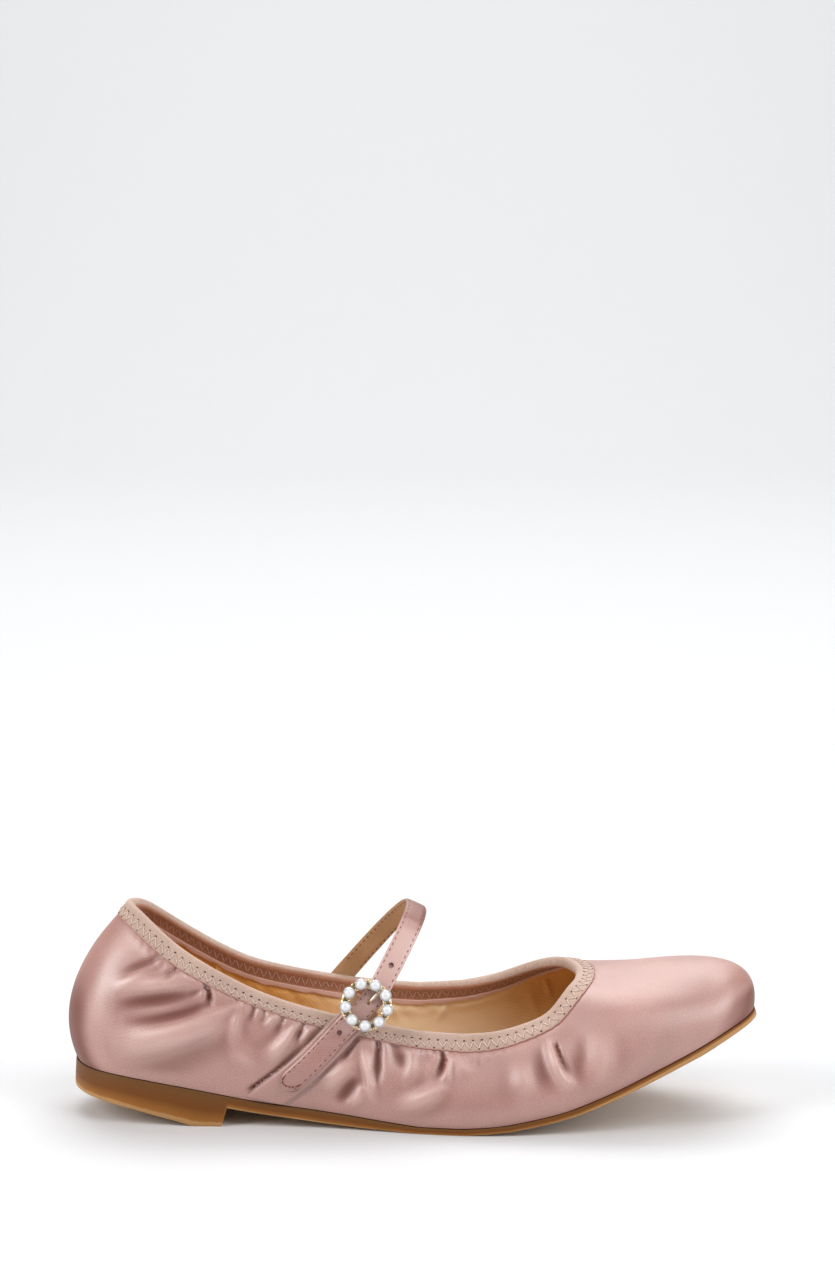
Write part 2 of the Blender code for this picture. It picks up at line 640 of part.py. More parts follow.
def tube_rings(points, radius, segments=8):
    """Rings round a path."""
    points = np.asarray(points, float)
    rings = []
    across = None
    for i, point in enumerate(points):
        along = unit(points[min(i + 1, len(points) - 1)] - points[max(i - 1, 0)])
        if across is None:
            helper = np.array([0.0, 0.0, 1.0]) if abs(along[2]) < 0.9 else np.array([1.0, 0.0, 0.0])
            across = np.cross(along, helper)
        across = unit(across - along * np.dot(across, along))
        other = np.cross(along, across)
        turn = np.arange(segments) * 2 * math.pi / segments
        rings.append([point + radius * (math.cos(a) * across + math.sin(a) * other) for a in turn])
    return rings


def rod(name, points, radius=HOLE_RADIUS, segments=10):
    """A cutter: a straight rod."""
    made = ladder(name, tube_rings(points, radius, segments), material("cutter", (1, 0, 0), 0.5))
    return as_cutter(made)


def box(name, middle, size, axes):
    """A cutter: a box in the buckle's axes."""
    middle, half = np.array(middle), np.array(size) / 2

    def end(along):
        corners = ((-1, -1), (1, -1), (1, 1), (-1, 1))
        return [placed(middle + half * (along, a, b), axes) for a, b in corners]

    return as_cutter(ladder(name, [end(-1), end(1)], material("cutter", (1, 0, 0), 0.5)))


def as_cutter(made):
    made.hide_render = True
    made.display_type = "WIRE"
    return made


def cut(target, cutter, operation="DIFFERENCE"):
    modifier = target.modifiers.new(cutter.name, "BOOLEAN")
    modifier.operation = operation
    modifier.solver = "EXACT"
    modifier.object = cutter


def make_buckle_frame(gold):
    """A ring plate, with a staple under it whose middle is the bar."""
    axes = buckle_frame_axes()
    rings = []
    steps = 36
    for i in range(steps):
        angle = 2 * math.pi * i / steps
        c, s = math.cos(angle), math.sin(angle)
        rings.append(
            placed(
                [
                    (r * c, r * s, level)
                    for r, level in (
                        (PEARL_CIRCLE - PLATE_WIDTH / 2, PLATE_LEVEL),
                        (PEARL_CIRCLE + PLATE_WIDTH / 2, PLATE_LEVEL),
                        (PEARL_CIRCLE + PLATE_WIDTH / 2, PLATE_LEVEL + PLATE),
                        (PEARL_CIRCLE - PLATE_WIDTH / 2, PLATE_LEVEL + PLATE),
                    )
                ],
                axes,
            )
        )
    frame = loft("buckle_frame", rings, gold)
    top = PLATE_LEVEL + PLATE / 2
    bend = 0.8 * MM
    path = [(0, -PEARL_CIRCLE, top), (0, -PEARL_CIRCLE, bend), (0, -PEARL_CIRCLE + bend, 0)]
    path += [(0, -y, z) for _, y, z in reversed(path)]
    staple = ladder("buckle_staple", tube_rings(placed(path, axes), BAR_RADIUS), gold)
    cut(frame, as_cutter(staple), "UNION")
    return frame


def make_prong(gold):
    """The pin: hooked round the bar, up through the strap and on to the plate."""
    axes = buckle_frame_axes()
    round_bar = BAR_RADIUS + GAP + PRONG_RADIUS
    over = PLATE_LEVEL + PLATE + GAP + PRONG_RADIUS
    hole = BAR_RADIUS + GAP + 2 * PRONG_RADIUS
    turns = np.linspace(-0.2, -2.8, 8)
    path = [(round_bar * math.sin(a), 0, -round_bar * math.cos(a)) for a in turns]
    path += [(hole - 0.7 * MM, 0, round_bar), (hole, 0, STRAP_LEVEL)]
    path += [(hole, 0, STRAP_LEVEL + STRAP + 0.2 * MM), (hole + 1.2 * MM, 0, over - 0.4 * MM)]
    path += [(PEARL_CIRCLE - PLATE_WIDTH / 2 - 0.4 * MM, 0, over), (PEARL_CIRCLE + 0.6 * MM, 0, over)]
    return ladder("buckle_prong", tube_rings(placed(path, axes), PRONG_RADIUS), gold)


def make_pearl(index, pearl):
    """One pearl, flat where it is set on the plate."""
    axes = buckle_frame_axes()
    angle = math.radians(PEARL_TURN) + 2 * math.pi * index / PEARLS
    base = math.asin(-0.8)
    seat = PLATE_LEVEL + PLATE + GAP + 0.8 * PEARL_RADIUS
    x, y = PEARL_CIRCLE * math.cos(angle), PEARL_CIRCLE * math.sin(angle)
    rings = []
    for rise in np.linspace(base, math.radians(76), 8):
        r, z = PEARL_RADIUS * math.cos(rise), PEARL_RADIUS * math.sin(rise)
        turn = np.arange(12) * 2 * math.pi / 12
        rings.append(placed([(x + r * math.cos(a), y + r * math.sin(a), seat + z) for a in turn], axes))
    return ladder(f"pearl_{index + 1}", rings, pearl)


def main():
    for old in list(bpy.data.objects):
        bpy.data.objects.remove(old)
    rubber = material("gum_rubber", (0.45, 0.27, 0.11), 0.5)
    satin = material("satin", (0.62, 0.42, 0.40), 0.35)
    elastic = material("elastic", (0.70, 0.52, 0.46), 0.7)
    sock = material("insole_leather", (0.66, 0.44, 0.24), 0.6)
    gold = material("gold_metal", (0.80, 0.62, 0.35), 0.25, 1.0)
    pearl = material("pearl", (0.88, 0.87, 0.86), 0.15)
    make_outsole(rubber)
    make_upper(satin)
    make_insole(sock)
    make_binding(elastic)
    make_anchor(satin)
    make_strap(satin)
    make_buckle_frame(gold)
    make_prong(gold)
    for index in range(PEARLS):
        make_pearl(index, pearl)
    centre_on_floor()


def centre_on_floor():
    """Moves the pieces so that the origin is under the middle of their box."""
    made = [o for o in bpy.context.scene.objects if o.type == "MESH"]
    corners = np.array([tuple(v.co) for o in made if not o.hide_render for v in o.data.vertices])
    middle = (corners.min(0) + corners.max(0)) / 2
    for o in made:
        for v in o.data.vertices:
            v.co.x -= middle[0]
            v.co.y -= middle[1]


main()
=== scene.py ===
"""Looks of a satin ballet flat with an elastic collar, an instep strap and a pearl buckle.

The wall of the shoe is worked out here from the same sizes and section rows as its solids, in the last's
frame: x from the heel end towards the toe, y towards the inner side, z up from the floor.
"""

from collections import namedtuple
from functools import lru_cache
import math

import bpy
import numpy as np
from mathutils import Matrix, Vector


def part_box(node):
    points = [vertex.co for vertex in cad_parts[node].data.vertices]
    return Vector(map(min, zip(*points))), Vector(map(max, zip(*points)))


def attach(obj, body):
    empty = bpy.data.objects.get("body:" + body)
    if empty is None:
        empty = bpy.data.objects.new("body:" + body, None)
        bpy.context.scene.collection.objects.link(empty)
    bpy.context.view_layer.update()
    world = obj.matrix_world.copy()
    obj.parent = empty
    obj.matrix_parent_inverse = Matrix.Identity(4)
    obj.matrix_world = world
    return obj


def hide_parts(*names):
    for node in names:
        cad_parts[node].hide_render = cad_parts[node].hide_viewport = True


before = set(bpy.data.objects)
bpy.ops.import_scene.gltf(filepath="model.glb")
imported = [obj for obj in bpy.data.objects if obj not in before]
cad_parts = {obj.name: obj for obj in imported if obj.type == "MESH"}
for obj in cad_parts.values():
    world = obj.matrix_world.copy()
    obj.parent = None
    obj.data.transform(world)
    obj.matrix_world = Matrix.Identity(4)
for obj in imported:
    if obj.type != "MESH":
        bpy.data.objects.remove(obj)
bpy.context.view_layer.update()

MM = 0.001

LENGTH = 244.0 * MM          # heel end to toe end of the feather line, along the floor
BALL_WIDTH = 78.0 * MM       # feather line across the ball
HEEL_WIDTH = 55.0 * MM       # feather line across the heel
TOE_SPRING = 34.3 * MM       # rise of the sole at the toe end
HEEL_PITCH = 16.6 * MM       # rise of the sole's top at the heel end
SOLE_EDGE = 2.2 * MM         # sole thickness at the forefoot
SHANK_EDGE = 4.0 * MM        # sole thickness in the waist
HEEL_LIFT = 9.2 * MM         # rise of the heel's underside at its back
BREAST_X = 56.0 * MM         # front face of the heel, from the heel end
HEEL_FLAT = 8.0 * MM         # length of the heel that meets the floor
BALL_FLAT = (0.50, 0.57)     # the part of the ball that meets the floor, as shares of LENGTH
SOLE_LIP = 0.4 * MM          # sole outside the feather line

# Upper
BACK_HEIGHT = 56.5 * MM      # collar above the sole's top, at the back
OPENING_WIDTH = 56.0 * MM    # collar edge, side to side
THROAT_X = 180.5 * MM        # front of the opening, from the heel end
WALL = 1.2 * MM              # satin and lining together

# Collar elastic, folded over the edge
ELASTIC = 0.6 * MM
ELASTIC_DROP = 6.0 * MM      # outside leg
ELASTIC_INNER = 7.6 * MM     # inside leg

# Insole
INSOLE = 2.0 * MM

# Strap and anchor
STRAP_WIDTH = 7.8 * MM
STRAP = 1.2 * MM
ANCHOR_WIDTH = 10.4 * MM
ANCHOR = 0.8 * MM
ANCHOR_RETURN = 4.5 * MM     # end of the anchor, folded back over the bar
ARCH_OUTER = 44.0 * MM       # how far the strap carries straight up from the buckle
ARCH_INNER = 50.0 * MM       # and from the inner side of the collar
ARCH_TURN = 16.0             # degrees that the strap turns upright above the buckle
TIP_SHARE = 0.84             # free end, as a share of the way from the buckle to the sole
HOLE_RADIUS = 0.95 * MM
HOLE_SHARE = 0.27            # next hole down, as a share of the way from the buckle to the sole
HOLE_ARCH_SHARE = 0.10       # next hole up, as a share of the arch
END_SKEW = 0.085             # slant of the ends that meet the sole

# Buckle
PEARLS = 9
PEARL_RADIUS = 2.2 * MM
PEARL_CIRCLE = 7.4 * MM      # radius of the circle through the pearls
PEARL_TURN = 20.0            # degrees from the strap's outer edge to the first pearl
PLATE_WIDTH = 3.0 * MM
PLATE = 0.8 * MM
BAR_RADIUS = 0.5 * MM
PRONG_RADIUS = 0.4 * MM
BUCKLE_RISE = 6.0 * MM       # buckle centre above the collar edge
INNER_RISE = 3.0 * MM        # how far the strap keeps to the wall's line above the inner collar

BAND_STEP = 5.0 * MM         # length over which a band comes down off the elastic
ANCHOR_STEP = 6.0 * MM       # length over which the strap comes down off the anchor's folded end
STEP_LEAD = 1.0 * MM         # how far past an edge a band starts to come down
STRAIGHT = 6.0 * MM          # straight run of the strap below the bar
CREST = 1.6                  # how strongly the strap's top turns to face up
SOLE_CLEAR = 1.3 * MM        # from the end of a band to the feather line

GAP = 0.3 * MM               # between pieces that meet
UP = np.array([0.0, 0.0, 1.0])

# Mesh density
SOLE_STEPS = 46
ARC_STEPS = 160

# One row for each section line of the upper, from heel to toe.
# x, lat, med: feather line. x is a share of LENGTH. lat and med are shares of the width that the row
# follows: HEEL_WIDTH where front is 0, BALL_WIDTH where it is 1.
# cx, clat, cmed: collar edge, as shares of THROAT_X and OPENING_WIDTH.
# hlat, hmed: collar above the sole's top, as shares of BACK_HEIGHT.
# lean, low: angle outwards at the feather line, and how far it carries, as a share of the height.
# tilt, high: angle inwards at the collar, and how far it carries, as a share of the wall's span.
Row = namedtuple("Row", "x lat med front cx clat cmed hlat hmed lean low tilt high")
ROWS = [
    Row(0.004, 0.000, 0.000, 0.00, 0.113, 0.000, 0.000, 1.012, 1.012, 24, 0.40, 48, 0.36),
    Row(0.026, 0.300, 0.300, 0.00, 0.133, 0.152, 0.134, 0.995, 1.000, 21, 0.40, 44, 0.34),
    Row(0.072, 0.440, 0.440, 0.00, 0.172, 0.271, 0.236, 0.926, 0.927, 16, 0.38, 36, 0.32),
    Row(0.136, 0.496, 0.487, 0.00, 0.233, 0.375, 0.339, 0.825, 0.812, 12, 0.36, 26, 0.30),
    Row(0.213, 0.508, 0.472, 0.00, 0.319, 0.425, 0.393, 0.727, 0.704, 11, 0.36, 20, 0.30),
    Row(0.299, 0.497, 0.402, 0.15, 0.410, 0.457, 0.420, 0.650, 0.653, 13, 0.36, 16, 0.30),
    Row(0.389, 0.470, 0.336, 0.50, 0.514, 0.471, 0.454, 0.598, 0.625, 15, 0.36, 16, 0.30),
    Row(0.475, 0.478, 0.350, 0.85, 0.620, 0.482, 0.479, 0.568, 0.618, 17, 0.36, 20, 0.30),
    Row(0.561, 0.505, 0.404, 1.00, 0.726, 0.491, 0.482, 0.545, 0.630, 19, 0.36, 30, 0.32),
    Row(0.643, 0.518, 0.462, 1.00, 0.814, 0.482, 0.464, 0.531, 0.655, 21, 0.36, 44, 0.34),
    Row(0.725, 0.497, 0.478, 1.00, 0.898, 0.437, 0.429, 0.545, 0.703, 20, 0.42, 62, 0.42),
    Row(0.807, 0.446, 0.449, 1.00, 0.945, 0.366, 0.366, 0.584, 0.726, 18, 0.55, 74, 0.50),
    Row(0.885, 0.363, 0.378, 1.00, 0.976, 0.277, 0.277, 0.662, 0.718, 14, 0.80, 85, 0.58),
    Row(0.951, 0.250, 0.276, 1.00, 0.994, 0.143, 0.143, 0.672, 0.694, 10, 1.15, 95, 0.67),
    Row(0.998, -0.026, 0.026, 1.00, 1.000, 0.000, 0.000, 0.685, 0.685, 8, 1.60, 100, 0.74),
]

# The sole's top along its length: shares of TOE_SPRING in front and of HEEL_PITCH behind.
SPRING = [
    (0.570, 0.000), (0.620, 0.030), (0.660, 0.080), (0.710, 0.160),
    (0.770, 0.310), (0.830, 0.490), (0.890, 0.675), (0.950, 0.865),
    (1.010, 1.000),
]
PITCH = [
    (-0.010, 1.000), (0.040, 0.960), (0.100, 0.860), (0.155, 0.730),
    (0.216, 0.560), (0.260, 0.440), (0.310, 0.340), (0.370, 0.230),
    (0.430, 0.120), (0.505, 0.000),
]
# The heel's underside, from its back to where it meets the floor: shares of HEEL_LIFT.
HEEL_CURL = [
    (0.000, 1.000), (0.210, 0.890), (0.420, 0.700), (0.600, 0.500),
    (0.800, 0.245), (1.000, 0.000), (1.200, 0.000),
]

# Where the strap and its anchor cross the wall, as places in the loop of ROWS.
BUCKLE_AT = 6.62             # buckle
ANCHOR_AT = 4.85             # anchor's end at the sole
INNER_AT = 21.75             # strap at the inner side of the collar
INNER_END_AT = 23.10         # strap's end at the sole on the inner side

# Both sides of the table as one loop: heel end, outer side, toe end, inner side, heel end
TOE = len(ROWS) - 1
LOOP = 2 * TOE

STRAP_LEVEL = BAR_RADIUS + GAP + ANCHOR + GAP        # strap's underside above the bar's centre
PLATE_LEVEL = STRAP_LEVEL + STRAP + GAP              # plate's underside above the bar's centre

# Camera: the photograph's frame is 835 by 1280 pixels, and the shoe sits low in it
PHOTO_HEIGHT = 1280
LENS = 100.0
SENSOR = 36.0
VIEW_RISE = math.radians(16.0)   # how far the camera looks down on the shoe
PIXELS_PER_MM = 2.78             # at the shoe
AIM_X = 122.9 * MM               # spot on the floor, from the heel end, that the photo shows
AIM_PIXEL_Y = 1104.5             # at this height of the frame, midway across

# Looks: cloth, band and threads
CLOTH = 0.3 * MM                 # one layer of satin or lining
SATIN_START = 2.0 * MM           # satin begins under the band
LINING_START = 1.2 * MM
BAND_LOW = 0.25 * MM             # band's outside face above the satin at its lower edge
RIM_BULGE = 0.55 * MM            # how far the rolled rim stands out past that
RIM_RISE = 1.1 * MM              # rolled rim above the collar edge
SELVEDGE = 1.9 * MM              # light strip at the lower edge of the inside leg
ZIGZAGS = 128                    # stitches round the collar
ZIGZAG_TOP = 2.3 * MM            # upper corners below the collar edge
ZIGZAG_SHARE = 0.86              # lower corners, as a share of the band's width
THREAD_RADIUS = 0.17 * MM
STITCH = 2.4 * MM                # pitch of the strap's edge stitching
STITCH_INSET = 0.95 * MM
SEAM_SINK = 0.14 * MM            # depth of the groove along the stitching
RIM_FOOT = 0.9 * MM              # where the rolled rim begins, below the collar edge
RIM_REACH = 1.7 * MM             # how far down its bulge dies away
RIM_CHANGE = 2.1                 # turn over the rim, in radians, at which the inside leg begins
BAND_BACK = 0.12 * MM            # from the wall to the band's hidden side
LANES = 19                       # points across a strap's top
GATHERED = (1.5, 10.3)           # places between which the elastic draws up small gathers
GATHER_SPACING = 4.2             # mean distance between them, in mm
CREASE_STEPS = 24                # points along the middle line of a crease
PUFF = 0.40 * MM                 # how far the satin puffs out below the band
PUFF_DROP = 2.0 * MM             # and where, below the band
PUFF_REACH = 1.9 * MM
FOOT_FADE = 7 * MM               # height above the sole over which the folds die away
FOOT_PINCH = 0.10 * MM           # how far the satin is drawn in at the sole
PULL_GAP = 0.80 * MM             # from the anchor's edge to the fold that it pulls
PULL_REACH = 0.75 * MM
BEAD_RADIUS = 0.95 * PEARL_RADIUS
ANCHOR_SIDE = -1.0               # side of its own track on which the anchor pulls a fold
LINING_PAINTED_LIGHT_AT = 20.3              # place in the loop where the painted light on the lining is strongest

# Painted shade (1) or painted highlight (-1) on the strap's satin, by section from its free end to the
# inner side
STRAP_PAINTED_SHADE = [
    (0, 0.22), (60, 0.22), (70, -0.60), (90, -1.0), (116, -1.0), (128, 0.50), (165, 0.60), (290, 0.10),
]
ARCH_SECTIONS = slice(82, 230)   # those of the strap's sections that arch over the instep

# Levels down the sole's side as shares of its height, and how far each stands in, in mm
SOLE_LEVELS = [0.0, 0.05, 0.12, 0.30, 0.50, 0.70, 0.86, 0.95, 1.0]
SOLE_INSETS = [0.30, 0.12, 0.03, 0.02, 0.0, 0.0, 0.05, 0.20, 0.60]

# Buckle, in mm over the plate: the cup under a pearl, and the small balls between two
CUP_LEVELS, CUP_SIZES = [-0.2, 0.25, 0.75], [1.1, 1.35, 1.72]
BALL_LEVELS, BALL_SIZES = [-0.3, 0.2, 0.75, 1.15, 1.45, 1.6], [0.45, 0.45, 0.5, 0.55, 0.40, 0.12]
PIN_SIZES = [1.1, 1.2, 1.3, 1.4, 1.5, 1.6, 1.65, 1.55, 1.1]     # times PRONG_RADIUS, up to its end

# Colours of cloth: dark, middle and light
SATIN_COLOURS = [(0.265, 0.103, 0.078), (0.372, 0.158, 0.123), (0.500, 0.238, 0.190)]
# Painted shade, blended into the satin in its folds and where a wall turns away from the eye
SATIN_PAINTED_SHADE = (0.135, 0.036, 0.024)
# Painted highlight, blended into the satin on its ridges and on lighter stretches of the strap
SATIN_PAINTED_HIGHLIGHT = (0.70, 0.44, 0.38)
LINING_COLOURS = [(0.60, 0.275, 0.060), (0.76, 0.405, 0.110), (0.85, 0.530, 0.200)]
# Painted light, blended into the lining on part of its inner side
LINING_PAINTED_LIGHT = (1.00, 0.84, 0.60)
BAND_COLOURS = [(0.34, 0.220, 0.170), (0.48, 0.330, 0.262), (0.60, 0.440, 0.360)]
BAND_INSIDE_COLOURS = [(0.26, 0.105, 0.055), (0.44, 0.210, 0.130), (0.62, 0.350, 0.240)]
SELVEDGE_COLOURS = [(0.60, 0.37, 0.31), (0.72, 0.48, 0.42), (0.82, 0.58, 0.52)]
UNDERSIDE_COLOURS = [(0.38, 0.220, 0.105), (0.53, 0.325, 0.170), (0.66, 0.43, 0.25)]
SHEEN_TINT = (1.0, 0.86, 0.82, 1.0)

# Colour stops of the other surfaces
LEATHER_STOPS = [(0.3, (0.50, 0.29, 0.13)), (0.7, (0.63, 0.40, 0.20))]
RUBBER_STOPS = [
    (0.10, (0.125, 0.058, 0.020)), (0.24, (0.145, 0.059, 0.017)), (0.62, (0.160, 0.054, 0.011)),
    (0.95, (0.300, 0.118, 0.026)), (1.0, (0.440, 0.240, 0.095)),
]
# Pearl colours by how a point faces the eye: a pale centre as painted highlight, then grey-blue and a dark
# rim as painted shade
PEARL_PAINTED_LIGHT_STOPS = [
    (0.20, (0.76, 0.76, 0.77)), (0.42, (0.50, 0.52, 0.56)), (0.70, (0.58, 0.57, 0.56)),
    (1.0, (0.22, 0.17, 0.13)),
]
FLOOR_COLOUR = (0.715, 0.722, 0.735, 1.0)
WORLD_LIGHT = 0.14

# Softboxes: name, place, spot that it is aimed at, size, watts and colour
SHOE = (0.0, 0.0, 0.03)
WHITE = (1.0, 1.0, 1.0)
LIGHTS = [
    ("left_side", (-1.20, -0.62, 0.95), SHOE, (0.8, 0.8), 13.0, (1.0, 0.99, 0.98)),
    ("right_side", (1.25, -0.75, 0.75), SHOE, (1.1, 1.1), 13.0, WHITE),
    ("high_front", (0.50, -0.85, 1.50), SHOE, (1.0, 0.8), 6.5, WHITE),
    ("high_back", (0.10, 0.75, 1.60), SHOE, (1.9, 1.3), 13.5, WHITE),
    ("heel_strip", (-1.20, -0.60, 0.35), SHOE, (0.22, 0.6), 4.0, WHITE),
    ("toe_strip", (1.30, -0.10, 0.45), SHOE, (0.3, 0.6), 1.8, WHITE),
    ("backdrop", (0.0, 2.0, 2.4), (0.0, 2.4, 0.0), (3.0, 2.0), 60.0, WHITE),
]

# Grids
SHELL_COLUMNS, SHELL_ROWS = 660, 56
LINING_COLUMNS, LINING_ROWS = 480, 36
BAND_COLUMNS = 1024

# Width of the band on the outer face of the wall, by place in the loop
BAND_WIDTHS = [
    (0.0, 5.4), (2.3, 6.1), (2.9, 5.9), (3.6, 5.4),
    (4.3, 4.8), (5.0, 4.5), (6.0, 4.6), (7.0, 4.9),
    (8.0, 5.4), (9.0, 6.0), (11.0, 6.0), (14.0, 5.6),
]

# Creases of the outer side: a path of three points, each a place in the loop and a drop in mm, half
# widths at its start and end, depth outwards (troughs are negative) and roll, all in mm. A pinch starts
# at the band and dies away. A swell is soft at both ends.
Crease = namedtuple("Crease", "a0 d0 a1 d1 a2 d2 start end depth roll", defaults=[0.0])
PINCHES = [
    Crease(2.40, 6.0, 1.90, 15.5, 1.35, 26.0, 0.8, 2.0, -0.90),
    Crease(2.30, 6.0, 2.20, 8.5, 2.15, 10.5, 0.5, 0.7, -0.60),
    Crease(2.85, 6.0, 2.70, 10.0, 2.50, 15.0, 0.6, 1.2, -1.00),
    Crease(3.50, 6.0, 3.60, 9.0, 3.60, 14.0, 0.8, 1.3, -1.70),
    Crease(3.50, 6.5, 3.35, 9.5, 3.15, 13.0, 0.6, 1.2, -0.80),
    Crease(4.15, 3.5, 4.15, 6.0, 4.05, 8.5, 0.5, 0.8, -0.70),
    Crease(4.55, 3.5, 4.50, 7.5, 4.45, 12.5, 0.9, 1.6, -1.10),
    Crease(4.75, 4.0, 4.70, 7.5, 4.65, 11.5, 0.7, 1.3, -0.80),
    Crease(5.15, 4.5, 5.05, 8.0, 4.95, 12.5, 0.7, 1.2, -0.80),
    Crease(5.50, 5.0, 5.40, 9.0, 5.25, 14.0, 0.7, 1.2, -1.00),
    Crease(6.40, 6.5, 6.25, 11.0, 6.10, 16.0, 1.2, 1.6, -1.30),
    Crease(6.85, 5.5, 6.80, 13.0, 6.70, 23.0, 1.2, 1.6, -1.80),
    Crease(7.15, 6.0, 7.20, 10.0, 7.15, 16.0, 2.6, 3.4, -1.10),
    Crease(7.60, 6.0, 7.60, 7.5, 7.55, 10.5, 0.5, 0.7, -0.60),
    Crease(7.85, 5.5, 7.80, 7.5, 7.75, 10.0, 0.5, 0.7, -0.60),
    Crease(8.00, 6.5, 7.95, 11.5, 7.70, 17.5, 1.0, 1.5, -1.60),
    Crease(10.30, 12.5, 10.15, 20.0, 10.05, 27.5, 0.7, 1.4, -1.40),
    Crease(8.70, 7.5, 8.70, 10.0, 8.70, 13.0, 0.6, 0.9, -0.30),
]
SWELLS = [
    Crease(2.40, 8.0, 1.90, 18.5, 1.40, 28.5, 2.0, 3.8, 0.94),
    Crease(3.25, 6.0, 2.40, 17.0, 1.45, 30.5, 2.3, 4.3, 1.62),
    Crease(3.45, 9.5, 2.60, 19.8, 1.60, 31.0, 1.9, 3.4, -1.20),
    Crease(3.50, 13.0, 2.85, 22.0, 1.85, 34.5, 1.6, 2.6, 1.22),
    Crease(3.65, 11.0, 3.00, 21.2, 1.95, 35.0, 1.5, 3.2, -2.10),
    Crease(4.20, 9.0, 3.10, 28.3, 1.75, 48.0, 4.2, 7.6, 2.90),
    Crease(4.30, 4.5, 4.00, 10.5, 3.65, 15.5, 0.8, 1.4, 0.81),
    Crease(4.30, 6.0, 4.20, 14.0, 4.30, 21.5, 1.1, 2.4, 1.08),
    Crease(4.25, 19.0, 4.45, 23.5, 4.75, 24.5, 2.6, 3.2, 0.68),
    Crease(5.00, 4.0, 4.90, 7.5, 4.75, 11.5, 0.6, 1.1, 0.81),
    Crease(5.40, 5.0, 5.15, 13.5, 4.80, 23.0, 1.1, 3.1, 1.76),
    Crease(5.65, 4.5, 5.55, 8.5, 5.40, 12.5, 0.6, 1.1, 0.94),
    Crease(6.55, 6.5, 6.60, 18.0, 6.60, 30.5, 1.1, 1.4, 1.35),
    Crease(7.40, 6.0, 7.40, 12.0, 7.20, 22.0, 1.0, 2.2, 0.81),
    Crease(8.10, 7.0, 8.05, 12.0, 7.85, 19.0, 1.0, 1.4, 1.22),
    Crease(7.95, 17.5, 7.55, 23.0, 6.90, 30.0, 2.3, 3.8, 1.62),
    Crease(8.15, 7.0, 8.30, 11.0, 8.50, 15.5, 1.4, 2.9, 0.81),
    Crease(6.35, 14.0, 6.10, 19.5, 5.75, 27.0, 2.3, 3.2, 1.22),
    Crease(6.40, 18.5, 6.20, 25.5, 5.90, 33.0, 2.3, 3.2, -1.22),
    Crease(6.50, 22.0, 6.35, 27.0, 6.15, 33.5, 1.7, 2.3, 0.94),
    Crease(10.30, 8.5, 10.05, 18.0, 10.05, 32.5, 1.4, 2.6, 1.62),
    Crease(10.95, 14.0, 10.45, 22.5, 10.10, 29.5, 4.0, 4.6, -0.75),
    Crease(10.00, 10.0, 9.75, 18.5, 9.65, 29.0, 3.4, 4.3, -0.65),
    Crease(9.55, 12.5, 9.35, 20.5, 9.30, 28.5, 2.9, 3.8, 0.94),
    Crease(11.30, 18.5, 10.75, 26.5, 10.40, 34.0, 3.8, 4.6, 0.94),
    Crease(0.80, 8.0, 1.12, 30.0, 1.35, 50.0, 6.5, 7.2, 0.68),
    Crease(13.60, 52.0, 13.10, 55.0, 12.35, 54.0, 4.3, 5.1, 0.68),
]
# Creases of the lining on the inner side, seen through the opening. Each is a trough.
LINING_CREASES = [
    Crease(20.92, 6.5, 20.84, 11.0, 20.70, 17.0, 0.9, 1.8, -0.55, 0.60),
    Crease(20.50, 6.5, 20.42, 9.0, 20.30, 13.0, 1.4, 2.2, -0.70),
    Crease(20.00, 6.5, 19.90, 11.0, 19.75, 16.0, 1.0, 2.4, -0.45, 0.30),
    Crease(21.78, 6.5, 21.70, 10.0, 21.60, 15.0, 1.0, 1.8, -0.45, -0.30),
    Crease(22.40, 6.5, 22.30, 10.0, 22.20, 14.0, 1.0, 1.6, -0.40, 0.30),
    Crease(22.95, 6.5, 22.80, 11.0, 22.60, 18.0, 1.1, 2.2, -0.55, 0.40),
    Crease(23.45, 6.5, 23.30, 10.0, 23.10, 15.0, 1.0, 1.8, -0.45, -0.30),
    Crease(24.05, 6.5, 23.90, 10.0, 23.70, 15.0, 1.2, 2.0, -0.50, 0.40),
    Crease(24.75, 6.5, 24.60, 10.0, 24.40, 15.0, 1.2, 2.0, -0.45, 0.30),
    Crease(18.50, 14.0, 18.40, 17.0, 18.30, 20.0, 2.5, 3.0, -0.50),
]


def smooth_through(xs, ys, at):
    """Values at the points at, on a curve through the given points that never overshoots them."""
    xs, ys, at = np.asarray(xs, float), np.asarray(ys, float), np.asarray(at, float)
    step = np.diff(xs)
    rise = np.diff(ys) / step
    slope = np.zeros(len(xs))
    for i in range(1, len(xs) - 1):
        if rise[i - 1] * rise[i] > 0:
            a, b = 2 * step[i] + step[i - 1], step[i] + 2 * step[i - 1]
            slope[i] = (a + b) / (a / rise[i - 1] + b / rise[i])
    slope[0] = rise[0] if rise[0] * rise[1] > 0 else 0.0
    slope[-1] = rise[-1] if rise[-1] * rise[-2] > 0 else 0.0
    at = np.clip(at, xs[0], xs[-1])
    k = np.clip(np.searchsorted(xs, at, side="right") - 1, 0, len(step) - 1)
    t = (at - xs[k]) / step[k]
    return (
        (1 + 2 * t) * (1 - t) ** 2 * ys[k]
        + t * (1 - t) ** 2 * step[k] * slope[k]
        + t * t * (3 - 2 * t) * ys[k + 1]
        - t * t * (1 - t) * step[k] * slope[k + 1]
    )


def bell(value, width):
    """1 where a value is 0, dying away over a width."""
    return np.exp(-((value / width) ** 2))


def ease(share):
    """A share carried smoothly from 0 to 1."""
    share = np.clip(share, 0, 1)
    return share * share * (3 - 2 * share)


def through_table(table, at):
    """The same curve through a table of pairs."""
    return smooth_through(*zip(*table), at)


def looped(values):
    """Values at 0, 1, 2 and so on round a loop, with the bends that make a smooth curve through them."""
    n = len(values)
    matrix = 4.0 * np.eye(n) + np.roll(np.eye(n), 1, axis=0) + np.roll(np.eye(n), -1, axis=0)
    return values, np.linalg.solve(matrix, 6.0 * (np.roll(values, 1) - 2 * values + np.roll(values, -1)))


